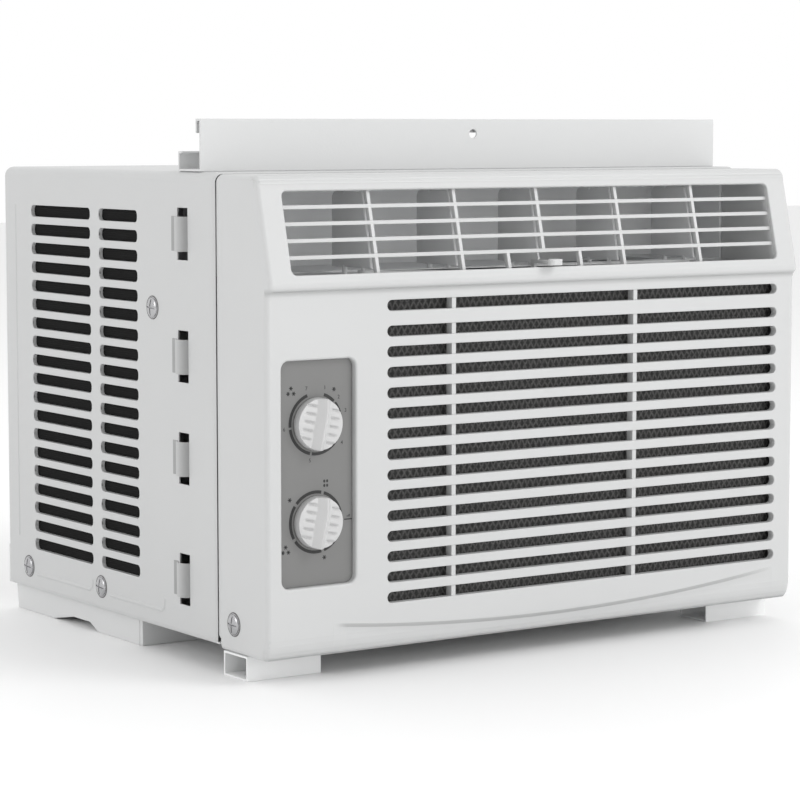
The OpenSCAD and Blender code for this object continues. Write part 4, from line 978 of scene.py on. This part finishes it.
def domed_head(side, y, z, lean):
    """One screw head on a side face."""
    bpy.ops.mesh.primitive_uv_sphere_add(segments=40, ring_count=20, radius=1)
    made = bpy.context.active_object
    made.data.transform(Matrix.Diagonal((2.4, 6.2, 6.2, 1)))
    for vertex in made.data.vertices:
        vertex.co.x = -abs(vertex.co.x) ** 0.8 if vertex.co.x < 0 else vertex.co.x
    all_of(made)
    bpy.ops.mesh.bisect(plane_co=(0, 0, 0), plane_no=(1, 0, 0), use_fill=True, clear_outer=True)
    done()
    bpy.ops.mesh.primitive_cylinder_add(vertices=40, radius=6.85, depth=0.7)
    flange = bpy.context.active_object
    flange.data.transform(Matrix.Rotation(math.radians(90), 4, "Y"))
    soften(flange, 0.25, smooth=False)
    combine(made, flange, "UNION")
    bpy.ops.mesh.primitive_torus_add(major_radius=5.9, minor_radius=0.32,
                                     major_segments=40, minor_segments=8)
    groove = bpy.context.active_object
    groove.data.transform(Matrix.Translation((-0.4, 0, 0)) @ Matrix.Rotation(math.radians(90), 4, "Y"))
    combine(made, groove)
    for across, along in ((5, 0.45), (0.45, 5)):
        combine(made, block((-4, -across, -along), (-0.9, across, along)))
    all_of(made)
    face_outwards()
    only(made)
    bpy.ops.object.shade_smooth_by_angle(angle=math.radians(32))
    turned = Matrix.Rotation(math.radians(lean), 4, "X")
    if side > 0:
        turned = Matrix.Rotation(math.pi, 4, "Z") @ turned
    seat = Matrix.Translation(place_of(side * half_width, y, z))
    made.data.transform(seat @ turned @ Matrix.Scale(mm, 4))
    # A dark ring round the flange is painted shadow, for the shade line round the head.
    bpy.ops.mesh.primitive_torus_add(major_radius=6.95, minor_radius=0.4,
                                     major_segments=48, minor_segments=8)
    shadow_ring = bpy.context.active_object
    shadow_ring.data.transform(seat @ Matrix.Rotation(math.radians(90), 4, "Y") @ Matrix.Scale(mm, 4))
    only(shadow_ring)
    bpy.ops.object.shade_smooth()
    shadow_rings.append(shadow_ring)
    return made


shadow_rings = []
for node, name, spots in (("cabinet_screws", "cabinet_fixings", ((304.8, 17.4, 4), (203, 17.4, 6),
                                                                 (133, 200.3, 5))),
                          ("panel_screws", "bezel_fixings", ((37.9, 17.4, 4),))):
    heads = joined(name, [domed_head(side, *spot) for side in (-1, 1) for spot in spots])
    painted(heads, zinc)
    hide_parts(node)
    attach(heads, "unit")
shadow_ring_finish = Finish("shadow_ring_finish", roughness=0.5, metallic=0.6)
shadow_ring_finish.shades(shadow_ring_finish.noise(0.004), (0.1, 0.1, 0.1), (0.18, 0.18, 0.18))
shadow_ring_finish.relief(shadow_ring_finish.noise(1 * mm), 0.02 * mm)
painted_shadow_rings = joined("painted_shadow_rings", shadow_rings)
painted(painted_shadow_rings, shadow_ring_finish)
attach(painted_shadow_rings, "unit")

# ---------- Sash rail ----------
# A channel folded from steel sheet, painted white and screwed on top of the cabinet. The window's
# sash comes down into it.
# Painted light: the rail and the pan get a lighter copy of the cabinet's white coat, standing for more
# light on them than on the cabinet.
rail_painted_light = powder_coated("rail_painted_light", (0.64, 0.645, 0.645), (0.66, 0.665, 0.665))
rail = copy_of("sash_rail", "sash_channel")
soften(rail, 0.5 * mm)
painted(rail, rail_painted_light)
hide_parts("sash_rail")
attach(rail, "unit")

# ---------- Base pan and front feet ----------
# The pan is pressed from steel and painted white, and its feet are stamped into it, with a doubling
# plate on the front of each. The front feet are short lengths of folded channel, open at both ends.
galvanised = Finish("galvanised_steel", roughness=0.4, metallic=0.6)
spangle = galvanised.node("TexVoronoi", {"feature": "F1"},
                          {"Vector": galvanised.place, "Scale": 160}, out=1)
flake = galvanised.node("RGBToBW", {}, {0: spangle})
galvanised.shades(flake, (0.5, 0.51, 0.52), (0.62, 0.63, 0.64))
galvanised.rough(flake * 0.2 + 0.32)
galvanised.relief(galvanised.noise(2 * mm), 0.04 * mm)
pan = copy_of("base_pan", "pressed_pan")
foot_middle = 161
foot_half = 36.9
for side in (-1, 1):
    combine(pan, block(place_of(side * 202 - 4, hook_front - 2, 17), place_of(side * 202 + 4, 106, 32)))
    combine(pan, block(place_of(side * 203.5 - 3, 52, 3.6), place_of(side * 203.5 + 3, 59, 32)))
    combine(pan, block(place_of(side * foot_middle - foot_half, 158.6, -14.9),
                       place_of(side * foot_middle + foot_half, 162.6, 2.9)), "UNION")
soften(pan, 0.5 * mm)
# The pan takes the rail's lighter coat, painted light.
painted(pan, rail_painted_light)
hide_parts("base_pan")
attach(pan, "unit")
# Painted light: the front feet get a much lighter copy of the white coat, standing for light on them in the
# shade under the panel.
foot_painted_light = powder_coated("foot_painted_light", (0.82, 0.825, 0.825), (0.85, 0.855, 0.855))
for side in ("left", "right"):
    foot = copy_of(f"front_foot_{side}", f"sill_foot_{side}")
    soften(foot, 0.4 * mm)
    painted(foot, foot_painted_light)
    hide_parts(f"front_foot_{side}")
    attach(foot, "unit")

# ---------- Working parts inside ----------
# What is seen through the slots, the outlet and the open back keeps its exact shape, apart from the
# coils' fins, and each part gets its own metal, plastic or rubber.
inside = {}
inside["zinc_steel"] = zinc
inside["pan_steel"] = galvanised
inside["panel_plastic"] = white_plastic
inside["knob_plastic"] = knob_plastic
inside["cabinet_paint"] = powder_coat
inside["duct_plastic"] = grey_plastic
inside["plate_grey"] = grey_plate
inside["filter_net"] = net
for slot_name, name, dark, light, roughness, metal in (
        ("black_plastic", "black_plastic", (0.02, 0.02, 0.021), (0.035, 0.035, 0.037), 0.45, 0),
        ("black_paint", "black_enamel", (0.012, 0.012, 0.013), (0.022, 0.022, 0.024), 0.3, 0),
        ("black_rubber", "black_rubber", (0.014, 0.014, 0.014), (0.025, 0.025, 0.025), 0.65, 0),
        ("copper", "drawn_copper", (0.6, 0.3, 0.19), (0.78, 0.45, 0.3), 0.25, 1),
        ("coil_aluminium", "coil_aluminium", (0.5, 0.51, 0.52), (0.66, 0.67, 0.68), 0.35, 0.9)):
    finish = Finish(name, roughness, metal)
    finish.shades(finish.noise(0.015), dark, light)
    finish.rough(finish.noise(0.006) * 0.2 + roughness - 0.1)
    finish.relief(finish.noise(0.8 * mm), 0.02 * mm)
    inside[slot_name] = finish
for entry in frame["record"]["subparts"]:
    node = entry.get("node") or entry.get("name")
    if node in frame["nodes"] and node != "filter_mesh":
        painted(frame["nodes"][node], inside[entry["material_slot"]])

# The outlet duct takes this painted-light lining instead of its grey plastic.
painted(frame["nodes"]["outlet_duct"], duct_painted_light)


def fin_stack(node, name):
    """A coil's fins, thin corrugated sheets over its whole length, instead of a block."""
    low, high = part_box(node)
    pitch = 1.8 * mm
    bpy.ops.mesh.primitive_grid_add(x_subdivisions=12, y_subdivisions=1, size=2)
    fins = bpy.context.active_object
    fins.name = name
    for vertex in fins.data.vertices:
        step = round((vertex.co.x + 1) * 6)
        vertex.co = (low.x + (0.3 + 0.3 * (step % 2)) * mm, low.y + (high.y - low.y) * step / 12,
                     high.z if vertex.co.y > 0 else low.z)
    sheet = fins.modifiers.new("sheet", "SOLIDIFY")
    sheet.thickness = 0.15 * mm
    sheet.offset = 0
    row = fins.modifiers.new("row", "ARRAY")
    row.use_relative_offset = False
    row.use_constant_offset = True
    row.constant_offset_displace = (pitch, 0, 0)
    row.count = int((high.x - low.x - 0.8 * mm) / pitch) + 1
    finish_modifiers(fins)
    painted(fins, inside["coil_aluminium"])
    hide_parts(node)
    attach(fins, "unit")


fin_stack("condenser_fins", "outdoor_fins")
fin_stack("evaporator_fins", "indoor_fins")
